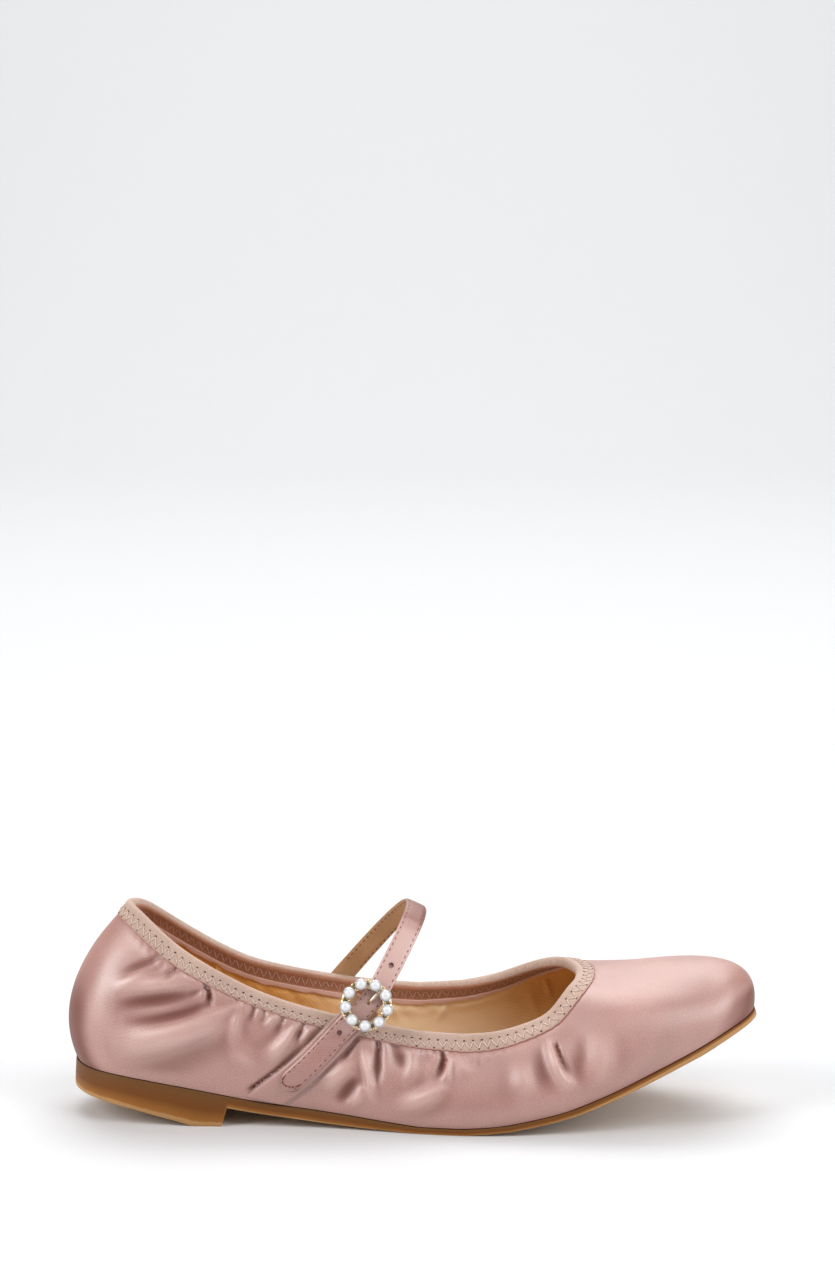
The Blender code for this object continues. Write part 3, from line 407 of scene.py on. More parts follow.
def closed_spline(curve, at):
    """Values at the places at on a smooth closed curve."""
    values, bend = curve
    n = len(values)
    at = np.asarray(at, float) % n
    i = np.floor(at).astype(int) % n
    j = (i + 1) % n
    t = at - np.floor(at)
    return (
        (1 - t) * values[i]
        + t * values[j]
        + ((1 - t) ** 3 - (1 - t)) * bend[i] / 6.0
        + (t**3 - t) * bend[j] / 6.0
    )


def line_run(points):
    """Distance along a line of points at each of them."""
    return np.concatenate([[0], np.cumsum(np.linalg.norm(np.diff(points, axis=0), axis=1))])


def line_points(distance, run, line):
    """Points at distances along a line, whose own points stand at run."""
    return np.stack([np.interp(distance, run, line[:, k]) for k in range(3)], -1)


def unit(vectors):
    """Vectors made one long."""
    return vectors / np.linalg.norm(vectors, axis=-1, keepdims=True)


def sole_top(x):
    """Height of the sole's top at x, which is measured from the heel end."""
    share = np.asarray(x, float) / LENGTH
    return SOLE_EDGE + through_table(SPRING, share) * TOE_SPRING + through_table(PITCH, share) * HEEL_PITCH


def around(outer, inner):
    """One loop of values from a function of the row for each side."""
    return np.array([outer(r) for r in ROWS] + [inner(r) for r in ROWS[-2:0:-1]])


def row_width(r):
    """The width that a row's feather line follows."""
    return HEEL_WIDTH + r.front * (BALL_WIDTH - HEEL_WIDTH)


def same(function):
    """One loop of values that are alike on both sides."""
    return around(function, function)


FEATHER_X = looped(same(lambda r: r.x * LENGTH))
FEATHER_Y = looped(around(lambda r: -r.lat * row_width(r), lambda r: r.med * row_width(r)))
COLLAR_X = looped(same(lambda r: r.cx * THROAT_X))
COLLAR_Y = looped(around(lambda r: -r.clat * OPENING_WIDTH, lambda r: r.cmed * OPENING_WIDTH))
COLLAR_H = looped(around(lambda r: r.hlat * BACK_HEIGHT, lambda r: r.hmed * BACK_HEIGHT))
LEAN = looped(same(lambda r: math.radians(r.lean)))
LOW = looped(same(lambda r: r.low))
TILT = looped(same(lambda r: math.radians(r.tilt)))
HIGH = looped(same(lambda r: r.high))


def plan_point(xs, ys, at):
    """Points of a closed curve in plan, on the floor."""
    return np.stack([closed_spline(xs, at), closed_spline(ys, at), np.zeros_like(at)], -1)


def one_side(at):
    """Places of both sides as places of the outer side."""
    return LOOP / 2 - np.abs(np.asarray(at, float) % LOOP - LOOP / 2)


def plan_inward(xs, ys, at):
    """Unit vectors in plan from a closed curve towards its inside."""
    step = 0.01
    dx = closed_spline(xs, at + step) - closed_spline(xs, at - step)
    dy = closed_spline(ys, at + step) - closed_spline(ys, at - step)
    return unit(np.stack([-dy, dx, np.zeros_like(dx)], -1))


def feather(at, inset=0.0):
    """The feather line's points, or points inset from it, resting GAP above the sole."""
    at = np.asarray(at, float)
    point = plan_point(FEATHER_X, FEATHER_Y, at) + inset * plan_inward(FEATHER_X, FEATHER_Y, at)
    point[..., 2] = sole_top(point[..., 0]) + GAP
    return point


def wall_lines(at):
    """The upper's outside as lines from the feather line to the collar, one for each position."""
    at = np.asarray(at, float)
    low = feather(at)
    high = plan_point(COLLAR_X, COLLAR_Y, at)
    height = closed_spline(COLLAR_H, at)
    high[..., 2] = sole_top(high[..., 0]) + height
    outward = -plan_inward(FEATHER_X, FEATHER_Y, at)
    inward = plan_inward(COLLAR_X, COLLAR_Y, at)
    lean, tilt = closed_spline(LEAN, at)[:, None], closed_spline(TILT, at)[:, None]
    carry_low = (closed_spline(LOW, at) * (high[:, 2] - low[:, 2]))[:, None]
    carry_high = (closed_spline(HIGH, at) * np.linalg.norm(high - low, axis=-1))[:, None]
    handle_low = low + carry_low * (np.cos(lean) * UP + np.sin(lean) * outward)
    handle_high = high - carry_high * (np.cos(tilt) * UP + np.sin(tilt) * inward)
    t = np.linspace(0, 1, ARC_STEPS)[None, :, None]
    return (
        (1 - t) ** 3 * low[:, None]
        + 3 * (1 - t) ** 2 * t * handle_low[:, None]
        + 3 * (1 - t) * t**2 * handle_high[:, None]
        + t**3 * high[:, None]
    )


def wall_point(at, drop):
    """Points on the upper's outside, drop below the collar edge. Its lines run on past both ends."""
    at, drop = np.broadcast_arrays(np.asarray(at, float), np.asarray(drop, float))
    places, which = np.unique(at, return_inverse=True)
    which, flat = which.ravel(), drop.ravel()
    lines = wall_lines(places)[:, ::-1]
    steps = np.cumsum(np.linalg.norm(np.diff(lines, axis=1), axis=-1), axis=1)
    run = np.concatenate([np.zeros((len(lines), 1)), steps], 1)
    order = np.argsort(which, kind="stable")
    bounds = np.searchsorted(which[order], np.arange(len(places) + 1))
    found = np.empty((flat.size, 3))
    for i, line in enumerate(lines):
        own = order[bounds[i] : bounds[i + 1]]
        fall = flat[own]
        point = line_points(fall, run[i], line)
        point += np.minimum(fall, 0)[:, None] * unit(line[1] - line[0])
        point += np.maximum(fall - run[i, -1], 0)[:, None] * unit(line[-1] - line[-2])
        found[own] = point
    return found.reshape(drop.shape + (3,))


def wall_length(at):
    """Length of the wall from the feather line to the collar, at each place."""
    lines = wall_lines(np.atleast_1d(np.asarray(at, float)))
    return np.linalg.norm(np.diff(lines, axis=1), axis=-1).sum(1)


def wall_normal(at, drop):
    """Unit vectors out of the upper."""
    at, drop = np.broadcast_arrays(np.asarray(at, float), np.asarray(drop, float))
    turn, climb = 0.02, 0.4 * MM
    along = wall_point(at + turn, drop) - wall_point(at - turn, drop)
    upward = wall_point(at, drop - climb) - wall_point(at, drop + climb)
    return unit(np.cross(along, upward))


def off_wall(at, drop, lift):
    """Points that stand lift off the wall."""
    return wall_point(at, drop) + np.asarray(lift)[..., None] * wall_normal(at, drop)


def outline(inset, extra=()):
    """x stations from heel to toe, and y on the outer and the inner side, of the feather line inset."""
    side = np.linspace(0, TOE, 40 * TOE + 1)
    outer, inner = feather(side, inset), feather(LOOP - side, inset)
    rear = max(outer[:, 0].min(), inner[:, 0].min())
    front = min(outer[:, 0].max(), inner[:, 0].max())
    turn = np.linspace(0, math.pi, SOLE_STEPS + 1)
    xs = (rear + front) / 2 - (front - rear) / 2 * np.cos(turn)
    end = (front - rear) * 0.0004
    xs[0], xs[-1] = xs[0] + end, xs[-1] - end
    near = [x for x in xs if all(abs(x - e) > 1.2 * MM for e in extra)]
    xs = np.array(sorted(near + list(extra)))

    def at(curve):
        """y of a curve at the stations."""
        first, last = curve[:, 0].argmin(), curve[:, 0].argmax()
        return np.interp(xs, curve[first : last + 1, 0], curve[first : last + 1, 1])

    return xs, at(outer), at(inner)


def heel_bottom(x):
    """Height of the heel's underside: flat at its front, then curling up to the back."""
    share = np.asarray(x, float) / (BREAST_X - HEEL_FLAT)
    return HEEL_LIFT * through_table(HEEL_CURL, share)


def sole_thickness(x):
    """Thickness of the sole in front of the heel."""
    front_of_waist, back_of_waist = 0.53 * LENGTH, 0.36 * LENGTH
    return smooth_through(
        [0.0, back_of_waist, front_of_waist, LENGTH], [SHANK_EDGE, SHANK_EDGE, SOLE_EDGE, SOLE_EDGE], x
    )


def across_wall(at, drop, next_at, next_drop, half_width):
    """Steps in at and drop that lead half a width sideways from a path along the wall."""
    turn, climb = 0.02, 0.2 * MM
    here = wall_point(at, drop)
    by_at = (wall_point(at + turn, drop) - wall_point(at - turn, drop)) / (2 * turn)
    by_drop = (wall_point(at, drop + climb) - wall_point(at, drop - climb)) / (2 * climb)
    along = unit(wall_point(next_at, next_drop) - here)
    side = np.cross(wall_normal(at, drop), along) * half_width
    found = np.linalg.lstsq(np.stack([by_at, by_drop], 1), side, rcond=None)[0]
    return found[0], found[1]


def way_down(share, start, end, rise):
    """Place in the loop and drop below the collar, from rise above it at 0 to the sole at 1."""
    full = float(wall_length(end)[0]) - SOLE_CLEAR + rise
    return start + (end - start) * share, -rise + full * share


def outer_path(share):
    """The way of the anchor and of the strap's free end, down from the buckle."""
    return way_down(share, BUCKLE_AT, ANCHOR_AT, BUCKLE_RISE)


def inner_path(share):
    """The strap's way down the inner side."""
    return way_down(share, INNER_AT, INNER_END_AT, INNER_RISE)


def over_binding(drop):
    """Lift of the lowest band: over the elastic, then down on the satin."""
    return GAP + (1 - ease((drop - ELASTIC_DROP - STEP_LEAD) / BAND_STEP)) * (ELASTIC + GAP)


def on_anchor(drop):
    """Lift of the strap's free end: over the anchor, and over its folded end near the bar."""
    past = (drop - ANCHOR_RETURN + BUCKLE_RISE - 2 * STEP_LEAD) / ANCHOR_STEP
    folded = 2 * (BAR_RADIUS + GAP) + ANCHOR
    return over_binding(drop) + ANCHOR + GAP + (1 - ease(past)) * folded


@lru_cache
def buckle_frame_axes():
    """The bar's centre, with the directions up the strap, across it and out of the shoe."""
    at, drop = outer_path(0.0)
    next_at, next_drop = outer_path(-0.1)
    lift = float(over_binding(drop)) + ANCHOR + GAP + BAR_RADIUS
    centre = off_wall(at, drop, lift)
    up = unit(wall_point(next_at, next_drop) - wall_point(at, drop))
    out = wall_normal(at, drop)
    side = unit(np.cross(out, up))
    return centre, up, side, unit(np.cross(up, side))


def placed(local, axes):
    """World points from local ones, given along the strap, across it and out."""
    centre, up, side, out = axes
    local = np.asarray(local, float)
    return centre + local[..., :1] * up + local[..., 1:2] * side + local[..., 2:] * out


@lru_cache
def arch_ends():
    """Start, end and outward direction of the arch, with the points that its two ends aim at."""
    axes = buckle_frame_axes()
    _, up, side, _ = axes
    turn = math.radians(ARCH_TURN)
    start = placed((PEARL_CIRCLE - PLATE_WIDTH, 0, STRAP_LEVEL), axes)
    leg = math.cos(turn) * up + math.sin(turn) * side
    end = off_wall(*inner_path(0.0), over_binding(0.0))
    end_up = unit(end - off_wall(*inner_path(0.05), over_binding(0.0)))
    return start, start + ARCH_OUTER * leg, end + ARCH_INNER * end_up, end, wall_normal(*inner_path(0.0))


def arch(share):
    """Point, direction and outward direction on the strap's underside, over the instep."""
    start, one, two, end, end_out = arch_ends()
    out = buckle_frame_axes()[3]
    t, u = share, 1 - share
    point = u**3 * start + 3 * u * u * t * one + 3 * u * t * t * two + t**3 * end
    along = unit(u * u * (one - start) + 2 * u * t * (two - one) + t * t * (end - two))
    crest = CREST * math.sin(math.pi * t) ** 2 * np.array([0.5, 0.0, 0.87])
    return point, along, unit(u * out + t * end_out + crest)


def tube_rings(points, radius, segments=8):
    """Rings round a path."""
    points = np.asarray(points, float)
    rings = []
    across = None
    for i, point in enumerate(points):
        along = unit(points[min(i + 1, len(points) - 1)] - points[max(i - 1, 0)])
        if across is None:
            helper = UP if abs(along[2]) < 0.9 else np.array([1.0, 0.0, 0.0])
            across = np.cross(along, helper)
        across = unit(across - along * np.dot(across, along))
        other = np.cross(along, across)
        turn = np.arange(segments) * 2 * math.pi / segments
        rings.append([point + radius * (math.cos(a) * across + math.sin(a) * other) for a in turn])
    return rings


def bezier_like(a, b, c, t):
    """A quadratic curve through three values at 0, 0.5 and 1."""
    return (1 - t) * (1 - 2 * t) * a + 4 * t * (1 - t) * b + t * (2 * t - 1) * c


def even_places(count, height=0.5):
    """Places at equal steps round the loop, at a share of the wall's height, and the run along it."""
    dense = np.linspace(0, LOOP, 40 * LOOP + 1)
    lines = wall_lines(dense)
    curve = lines[:, int(round(height * (ARC_STEPS - 1)))]
    run = line_run(curve)
    want = np.linspace(0, run[-1], count + 1)
    return np.interp(want, run, dense)[:-1], want


def band_width(at):
    """Width of the band on the outer face at a place in the loop. Both sides are alike."""
    return MM * through_table(BAND_WIDTHS, one_side(at))


class Track:
    """A path along the wall that points can be measured from."""

    def __init__(self, at, drop):
        self.path = wall_point(at, drop)
        self.along = unit(np.gradient(self.path, axis=0))
        self.side = np.cross(wall_normal(at, drop), self.along)
        self.step = np.linalg.norm(np.diff(self.path, axis=0), axis=1).mean()

    def near(self, points, reach):
        """Numbers of the points that lie within reach of the path's box."""
        low, high = self.path.min(0) - reach, self.path.max(0) + reach
        return np.nonzero(((points > low) & (points < high)).all(-1))[0]

    def measure(self, points):
        """Share along the path, distance to its side and distance past its ends."""
        nearest = ((points[:, None] - self.path[None]) ** 2).sum(-1).argmin(1)
        away = points - self.path[nearest]
        forward = (away * self.along[nearest]).sum(-1)
        side = (away * self.side[nearest]).sum(-1)
        last = len(self.path) - 1
        share = np.clip((nearest + forward / self.step) / last, 0, 1)
        past = np.where(nearest == 0, -forward, np.where(nearest == last, forward, 0.0))
        return share, side, np.maximum(past, 0)


def crease_lift(points, creases, pinched):
    """Height that creases add to points on the wall."""
    lift = np.zeros(len(points))
    t = np.linspace(0, 1, CREASE_STEPS)
    for crease in creases:
        drop = MM * bezier_like(crease.d0, crease.d1, crease.d2, t)
        track = Track(bezier_like(crease.a0, crease.a1, crease.a2, t), drop)
        own = track.near(points, 4 * MM * max(crease.start, crease.end))
        if not len(own):
            continue
        share, side, past = track.measure(points[own])
        width = MM * (crease.start + (crease.end - crease.start) * share)
        across = side / width
        hump, shoulder = bell(across, 1.0), bell(np.abs(across) - 2.0, 1.0)
        shape = crease.depth * (hump - 0.12 * shoulder) + 1.6 * crease.roll * across * hump
        if pinched:
            strength = 1 - ease((share - 0.50) / 0.50)
        else:
            strength = np.sin(math.pi * np.clip(share, 0.02, 0.98)) ** 1.15
        lift[own] += MM * shape * strength * bell(past, 0.8 * width)
    return lift


def mirrored(creases, seed):
    """The creases of the outer side carried to the inner side, each a little different."""
    rng = np.random.default_rng(seed)
    made = []
    for crease in creases:
        shift, grow = rng.uniform(-0.16, 0.16), rng.uniform(0.7, 1.0)
        places = {name: LOOP - getattr(crease, name) + shift for name in ("a0", "a1", "a2")}
        made.append(crease._replace(**places, depth=crease.depth * grow, roll=-crease.roll * grow))
    return made


def small_gathers(seed, first, last, top, spacing=GATHER_SPACING):
    """Fine pinches that the elastic draws up along its lower edge."""
    rng = np.random.default_rng(seed)
    made = []
    at = first
    while at < last:
        place = float(at)
        along = np.linalg.norm(wall_point(place + 0.1, 6 * MM) - wall_point(place - 0.1, 6 * MM)) / 0.2
        length = rng.uniform(2.5, 7.0)
        start = float(top(place)) / MM
        lean = rng.uniform(-0.05, 0.05)
        way = (place, start, place + lean, start + length / 2, place + 2 * lean, start + length)
        widths = rng.uniform(0.45, 0.75), rng.uniform(0.7, 1.1)
        made.append(Crease(*way, *widths, -rng.uniform(0.10, 0.34), rng.uniform(-0.1, 0.1)))
        at += spacing * MM * rng.uniform(0.7, 1.4) / along
    return made


def band_track(path, first):
    """The middle line of a band that lies on the wall."""
    places = np.array([path(share) for share in np.linspace(first, 1.02, 60)])
    return Track(places[:, 0], places[:, 1])


def gather_share(at):
    """How strongly the collar is drawn in: least at the heel's back and over the toes."""
    side = one_side(at)
    return 0.25 + 0.75 * ease((side - 0.8) / 1.5) * (1 - ease((side - 9.0) / 2.5))


def under_bands(points, lift):
    """Keeps the cloth down under the anchor and the strap, with the fold that the anchor's edge pulls."""
    for path, first, width in ((outer_path, 0.05, ANCHOR_WIDTH), (inner_path, 0.0, STRAP_WIDTH)):
        track, half = band_track(path, first), width / 2
        own = track.near(points, 12 * MM)
        share, side, past = track.measure(points[own])
        free = np.maximum(ease((np.abs(side) - half - 0.3 * MM) / (1.4 * MM)), ease(past / (2 * MM)))
        lift[own] = free * lift[own] + (1 - free) * np.clip(lift[own], -0.3 * MM, 0.02 * MM)
        gap = bell(np.abs(side) - half - PULL_GAP, PULL_REACH)
        pull = np.where(side * ANCHOR_SIDE > 0, 0.6 + 0.9 * share**2, 0.35) * ease((share - 0.05) / 0.3)
        lift[own] -= MM * gap * pull * bell(past, 2 * MM)
    return lift


def satin_lift(at, drop, points):
    """Height of the satin over the smooth wall."""
    shape = points.shape[:-1]
    flat = points.reshape(-1, 3)
    pinches = PINCHES + mirrored(PINCHES, 3) + small_gathers(11, *GATHERED, band_width)
    pinches += small_gathers(12, LOOP - GATHERED[1], LOOP - GATHERED[0], band_width)
    swells = SWELLS + mirrored(SWELLS, 4)
    lift = crease_lift(flat, pinches, True) + crease_lift(flat, swells, False)
    lift = lift.reshape(shape)
    below = drop - band_width(at)
    lift += PUFF * gather_share(at) * bell(below - PUFF_DROP, PUFF_REACH)
    lift *= ease((below + 0.6 * MM) / (1.6 * MM))
    foot = wall_length(at[0]) - drop
    lift *= ease(foot / FOOT_FADE)
    lift = under_bands(flat, lift.ravel()).reshape(shape)
    lift *= ease((foot + 0.4 * MM) / (1.6 * MM))
    return lift - FOOT_PINCH * bell(foot, 0.7 * MM)


def mesh_piece(name, points, faces, uvs, materials, face_material=None, smooth_angle=50.0):
    """An object from points in the last's frame, standing where the solids stand."""
    mesh = bpy.data.meshes.new(name)
    mesh.from_pydata((np.asarray(points) - MIDDLE).tolist(), [], faces)
    layer = mesh.uv_layers.new(name="UVMap")
    layer.data.foreach_set("uv", np.asarray(uvs, np.float32).ravel())
    for made in materials:
        mesh.materials.append(made)
    if face_material is not None:
        mesh.polygons.foreach_set("material_index", np.asarray(face_material, np.int32))
    mesh.shade_smooth()
    mesh.set_sharp_from_angle(angle=math.radians(smooth_angle))
    if volume_of(mesh) < 0:
        mesh.flip_normals()
    mesh.update()
    made = bpy.data.objects.new(name, mesh)
    bpy.context.scene.collection.objects.link(made)
    return made


def volume_of(mesh):
    """Six times the volume inside the faces, negative where they face inwards."""
    mesh.calc_loop_triangles()
    count = len(mesh.loop_triangles)
    corners = np.empty(3 * count, np.int32)
    mesh.loop_triangles.foreach_get("vertices", corners)
    spots = np.empty(3 * len(mesh.vertices), np.float32)
    mesh.vertices.foreach_get("co", spots)
    a, b, c = np.moveaxis(spots.reshape(-1, 3)[corners.reshape(-1, 3)], 1, 0)
    return float((a * np.cross(b, c)).sum())


def grid_faces(rows, columns, wrap_rows, start=0):
    """Faces of a grid of points whose columns close, and each corner's row and column before wrapping."""
    r = np.arange(rows if wrap_rows else rows - 1)[:, None]
    c = np.arange(columns)[None, :]
    corner_rows = np.stack(np.broadcast_arrays(r, r, r + 1, r + 1), -1)
    corner_columns = np.stack(np.broadcast_arrays(c, c + 1, c + 1, c), -1)
    corner_rows, corner_columns = np.broadcast_arrays(corner_rows, corner_columns)
    corner_rows, corner_columns = corner_rows.reshape(-1, 4), corner_columns.reshape(-1, 4)
    faces = start + (corner_rows % rows) * columns + corner_columns % columns
    return faces.tolist(), corner_rows, corner_columns


def loop_piece(name, rings, runs, drops, materials, row_material=None):
    """A closed piece from rings round the shoe. runs has one more value than a ring has points."""
    rows, columns = rings.shape[:2]
    faces, r, c = grid_faces(rows, columns, True)
    across = np.vstack([drops, drops[:1]])
    across = np.hstack([across, across[:, :1]])
    uvs = np.stack([runs[c], across[r, c]], -1) / MM
    face_material = None if row_material is None else np.repeat(row_material, columns)
    return mesh_piece(name, rings.reshape(-1, 3), faces, uvs, materials, face_material)


def band_piece(name, sections, run, across, materials, column_material=None, smooth_angle=50.0):
    """A band from closed sections along it, with an end face at both ends."""
    rows, columns = sections.shape[:2]
    faces, r, c = grid_faces(rows, columns, False)
    across = np.append(across, across[0])
    uvs = list(np.stack([across[c], run[r]], -1).reshape(-1, 2) / MM)
    first = list(range(columns))
    last = [(rows - 1) * columns + i for i in range(columns)]
    faces += [first, last]
    uvs += [(across[i] / MM, run[0] / MM) for i in range(columns)]
    uvs += [(across[i] / MM, run[-1] / MM) for i in range(columns)]
    face_material = None
    if column_material is not None:
        face_material = np.concatenate([np.tile(column_material, rows - 1), [0, 0]])
    return mesh_piece(name, sections.reshape(-1, 3), faces, uvs, materials, face_material, smooth_angle)


def joined_tubes(name, paths, radii, made, segments=6):
    """Many round threads as one mesh. Each radius may be one size or one for each point."""
    points, faces, uvs = [], [], []
    for path, radius in zip(paths, radii):
        sizes = np.broadcast_to(radius, len(path))
        rings = np.array(tube_rings(path, 1.0, segments)) - np.asarray(path)[:, None]
        rings = np.asarray(path)[:, None] + rings * sizes[:, None, None]
        start = len(points) and sum(len(p) for p in points)
        own, r, c = grid_faces(len(path), segments, False, start)
        faces += own
        uvs += [(a / segments, 0.5 * b) for a, b in zip(c.ravel(), r.ravel())]
        first = [start + i for i in range(segments)]
        last = [start + (len(path) - 1) * segments + i for i in range(segments)]
        faces += [first, last]
        uvs += [(i / segments, 0.0) for i in range(segments)] * 2
        points.append(rings.reshape(-1, 3))
    return mesh_piece(name, np.vstack(points), faces, uvs, [made], None, 60.0)


def finish_piece(piece, slot, *nodes):
    """Every piece rides on the one body and may stand for solids. The slot is not used."""
    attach(piece, "root")
    if nodes:
        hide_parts(*nodes)
    return piece


def store(piece, name, values):
    """Keeps a value for each point, which the piece's material reads by its name."""
    layer = piece.data.attributes.new(name, "FLOAT", "POINT")
    layer.data.foreach_set("value", values.ravel().astype(np.float32))


def make_shell(satin):
    """The satin: its outside with every crease, turned in under the insole, and its back face."""
    at, run = even_places(SHELL_COLUMNS)
    length = wall_length(at)
    share = np.linspace(0, 1, SHELL_ROWS)[:, None]
    drop = SATIN_START + (length[None] - SATIN_START) * share
    places = np.broadcast_to(at, drop.shape)
    wall, normal = wall_point(places, drop), wall_normal(places, drop)
    lift = satin_lift(places, drop, wall)
    outside = wall + lift[..., None] * normal
    back = wall + (np.minimum(lift, 0.6 * MM) - CLOTH)[..., None] * normal
    under = [feather(at, inset) + 0.02 * MM * UP for inset in (1.2 * MM, 5.0 * MM)]
    over = [feather(at, 5.0 * MM) + CLOTH * UP, feather(at, 1.6 * MM) + 1.3 * CLOTH * UP]
    kept = np.arange(SHELL_ROWS - 3, -1, -2)
    rings = np.concatenate([outside, under, over, back[kept]])
    turned_in = [length + further * MM for further in (1.2, 5.0, 5.3, 9.0)]
    drops = np.vstack([drop, turned_in, drop[kept]])
    piece = loop_piece("satin_shell", rings, run, drops, [satin])
    # Mask for painted shade in the satin's folds and painted highlight on its ridges, from how far each
    # point lies below its surroundings
    painted_shade = np.zeros(rings.shape[:2])
    painted_shade[: len(drop)] = hollowness(lift)
    store(piece, "painted_shade", painted_shade)
    return finish_piece(piece, "satin", "upper")


def blurred(grid, rounds):
    """A grid of values smoothed round the loop and down the wall."""
    for _ in range(rounds):
        grid = (np.roll(grid, 1, axis=1) + 2 * grid + np.roll(grid, -1, axis=1)) / 4
        padded = np.vstack([grid[:1], grid, grid[-1:]])
        grid = (padded[:-2] + 2 * grid + padded[2:]) / 4
    return grid


def hollowness(lift):
    """How far each point lies below its surroundings, about 1 in a deep fold and -1 on a sharp ridge."""
    fine = blurred(lift, 4) - blurred(lift, 1)
    wide = blurred(lift, 60) - blurred(lift, 3)
    foot = ease((len(lift) - 1 - np.arange(len(lift)))[:, None] / 8)
    return foot * np.tanh((1.2 * fine + 1.1 * wide) / MM)


def make_lining(lining):
    """The lining, drawn up by the elastic as the satin is."""
    at, run = even_places(LINING_COLUMNS)
    length = wall_length(at) - 3.0 * MM
    share = np.linspace(0, 1, LINING_ROWS)[:, None]
    drop = LINING_START + (length[None] - LINING_START) * share
    places = np.broadcast_to(at, drop.shape)
    wall, normal = wall_point(places, drop), wall_normal(places, drop)
    outer = satin_lift(places, drop, wall)
    gathers = LINING_CREASES + mirrored(LINING_CREASES, 5)
    gathers += small_gathers(21, 1.0, LOOP - 1.0, lambda place: ELASTIC_INNER - 1.0 * MM, 4.0)
    own = -crease_lift(wall.reshape(-1, 3), gathers, True)
    below = drop - ELASTIC_INNER
    own = own.reshape(drop.shape) * ease((below + 1.5 * MM) / (2.0 * MM))
    puff = 0.7 * MM * gather_share(places) * bell(below - 2.5 * MM, 2.6 * MM)
    inside = -WALL + 0.75 * np.minimum(outer, 0) + np.clip(own, -1.2 * MM, 0.45 * MM) - puff
    inside = np.minimum(inside, outer - 0.75 * MM)
    face = wall + inside[..., None] * normal
    back = wall + (inside + CLOTH)[..., None] * normal
    kept = np.arange(LINING_ROWS - 1, -1, -2)
    rings = np.concatenate([face, back[kept]])
    piece = loop_piece("lining", rings, run, np.vstack([drop, drop[kept]]), [lining])
    # Painted light on the lining, strongest at one place on the inner side
    painted_light = bell(places - LINING_PAINTED_LIGHT_AT, 2.0)
    painted_light = np.concatenate([painted_light, painted_light[kept]])
    store(piece, "painted_light", painted_light)
    return finish_piece(piece, "insole_leather")


def band_lifts(at, run):
    """Drops and lifts of the band's rings, one row for each ring."""
    width = band_width(at)
    half = WALL / 2 + BAND_LOW + ELASTIC + RIM_BULGE
    drops, lifts, paint = [], [], []

    def add(drop, lift, kind):
        """One more ring, with the number of its material."""
        drops.append(np.broadcast_to(drop, at.shape))
        lifts.append(np.broadcast_to(lift, at.shape))
        paint.append(kind)

    phase = run[:-1] / (run[-1] / ZIGZAGS)
    for share in np.linspace(1, 0, 17):
        drop = RIM_FOOT + share * (width - RIM_FOOT)
        thin = ease((width - drop) / (0.6 * MM))
        lift = BAND_LOW + ELASTIC * (0.3 + 0.7 * thin) + RIM_BULGE * bell(drop, RIM_REACH)
        add(drop, lift + zigzag_dents(phase, drop, width), 0)
    for turn in np.linspace(0.10, 0.90, 11) * math.pi:
        drop = 0.5 * MM - (RIM_RISE + 0.5 * MM) * math.sin(turn)
        add(drop, half * math.cos(turn) - WALL / 2, int(turn > RIM_CHANGE))
    inner = ELASTIC_INNER - SELVEDGE
    for drop in np.linspace(RIM_FOOT, inner, 13):
        lift = -WALL - BAND_LOW - ELASTIC - RIM_BULGE * bell(drop, RIM_REACH)
        add(drop, lift - zigzag_dents(phase, np.full_like(at, drop), np.full_like(at, inner)), 1)
    strip = -WALL - BAND_LOW - ELASTIC - 0.35 * MM
    add(inner - 0.1 * MM, strip + 0.3 * MM, 2)
    add(inner, strip, 2)
    add(inner + 0.9 * MM, strip - 0.1 * MM, 2)
    angle = 2 * math.pi * run[:-1]
    edge = ELASTIC_INNER + 0.22 * MM * np.sin(angle / (13 * MM)) + 0.15 * MM * np.sin(angle / (7.1 * MM))
    add(edge - 0.2 * MM, strip, 2)
    add(edge, strip + 0.35 * MM, 2)
    add(edge - 0.3 * MM, -WALL - BAND_BACK, 2)
    add(ELASTIC_INNER / 2, -WALL - BAND_BACK, 1)
    add(0.3 * MM, -WALL - BAND_BACK, 1)
    add(0.3 * MM, BAND_BACK, 0)
    add(width / 2, BAND_BACK, 0)
    add(width - 0.2 * MM, 0.1 * MM, 0)
    return np.array(drops), np.array(lifts), np.array(paint)


def zigzag_dents(phase, drop, width):
    """Dimples where the needle goes in, at both ends of each zigzag stroke."""
    dents = 0.0
    low = ZIGZAG_SHARE * width
    for shift, level in ((0.0, np.full_like(width, ZIGZAG_TOP)), (0.5, low)):
        off = (phase + shift + 0.5) % 1 - 0.5
        dents = dents - 0.34 * MM * np.exp(-((off / 0.13) ** 2) - (((drop - level) / (0.5 * MM)) ** 2))
    between = ease((drop - 1.4 * MM) / (1.0 * MM)) * ease((width - drop) / (0.5 * MM))
    return dents + between * (0.07 * MM * np.cos(4 * math.pi * phase) - 0.08 * MM)


def make_band(elastic, inside, selvedge):
    """The elastic folded over the collar, with the satin selvedge that shows under its inside leg."""
    at, run = even_places(BAND_COLUMNS, 1.0)
    drops, lifts, paint = band_lifts(at, run)
    places = np.broadcast_to(at, drops.shape)
    normal = wall_normal(places, np.maximum(drops, 0.4 * MM))
    rings = wall_point(places, drops) + lifts[..., None] * normal
    piece = loop_piece("collar_band", rings, run, drops, [elastic, inside, selvedge], paint)
    return finish_piece(piece, "elastic", "collar_binding")


def closed(path):
    """A path that ends where it starts."""
    return np.vstack([path, path[:1]])


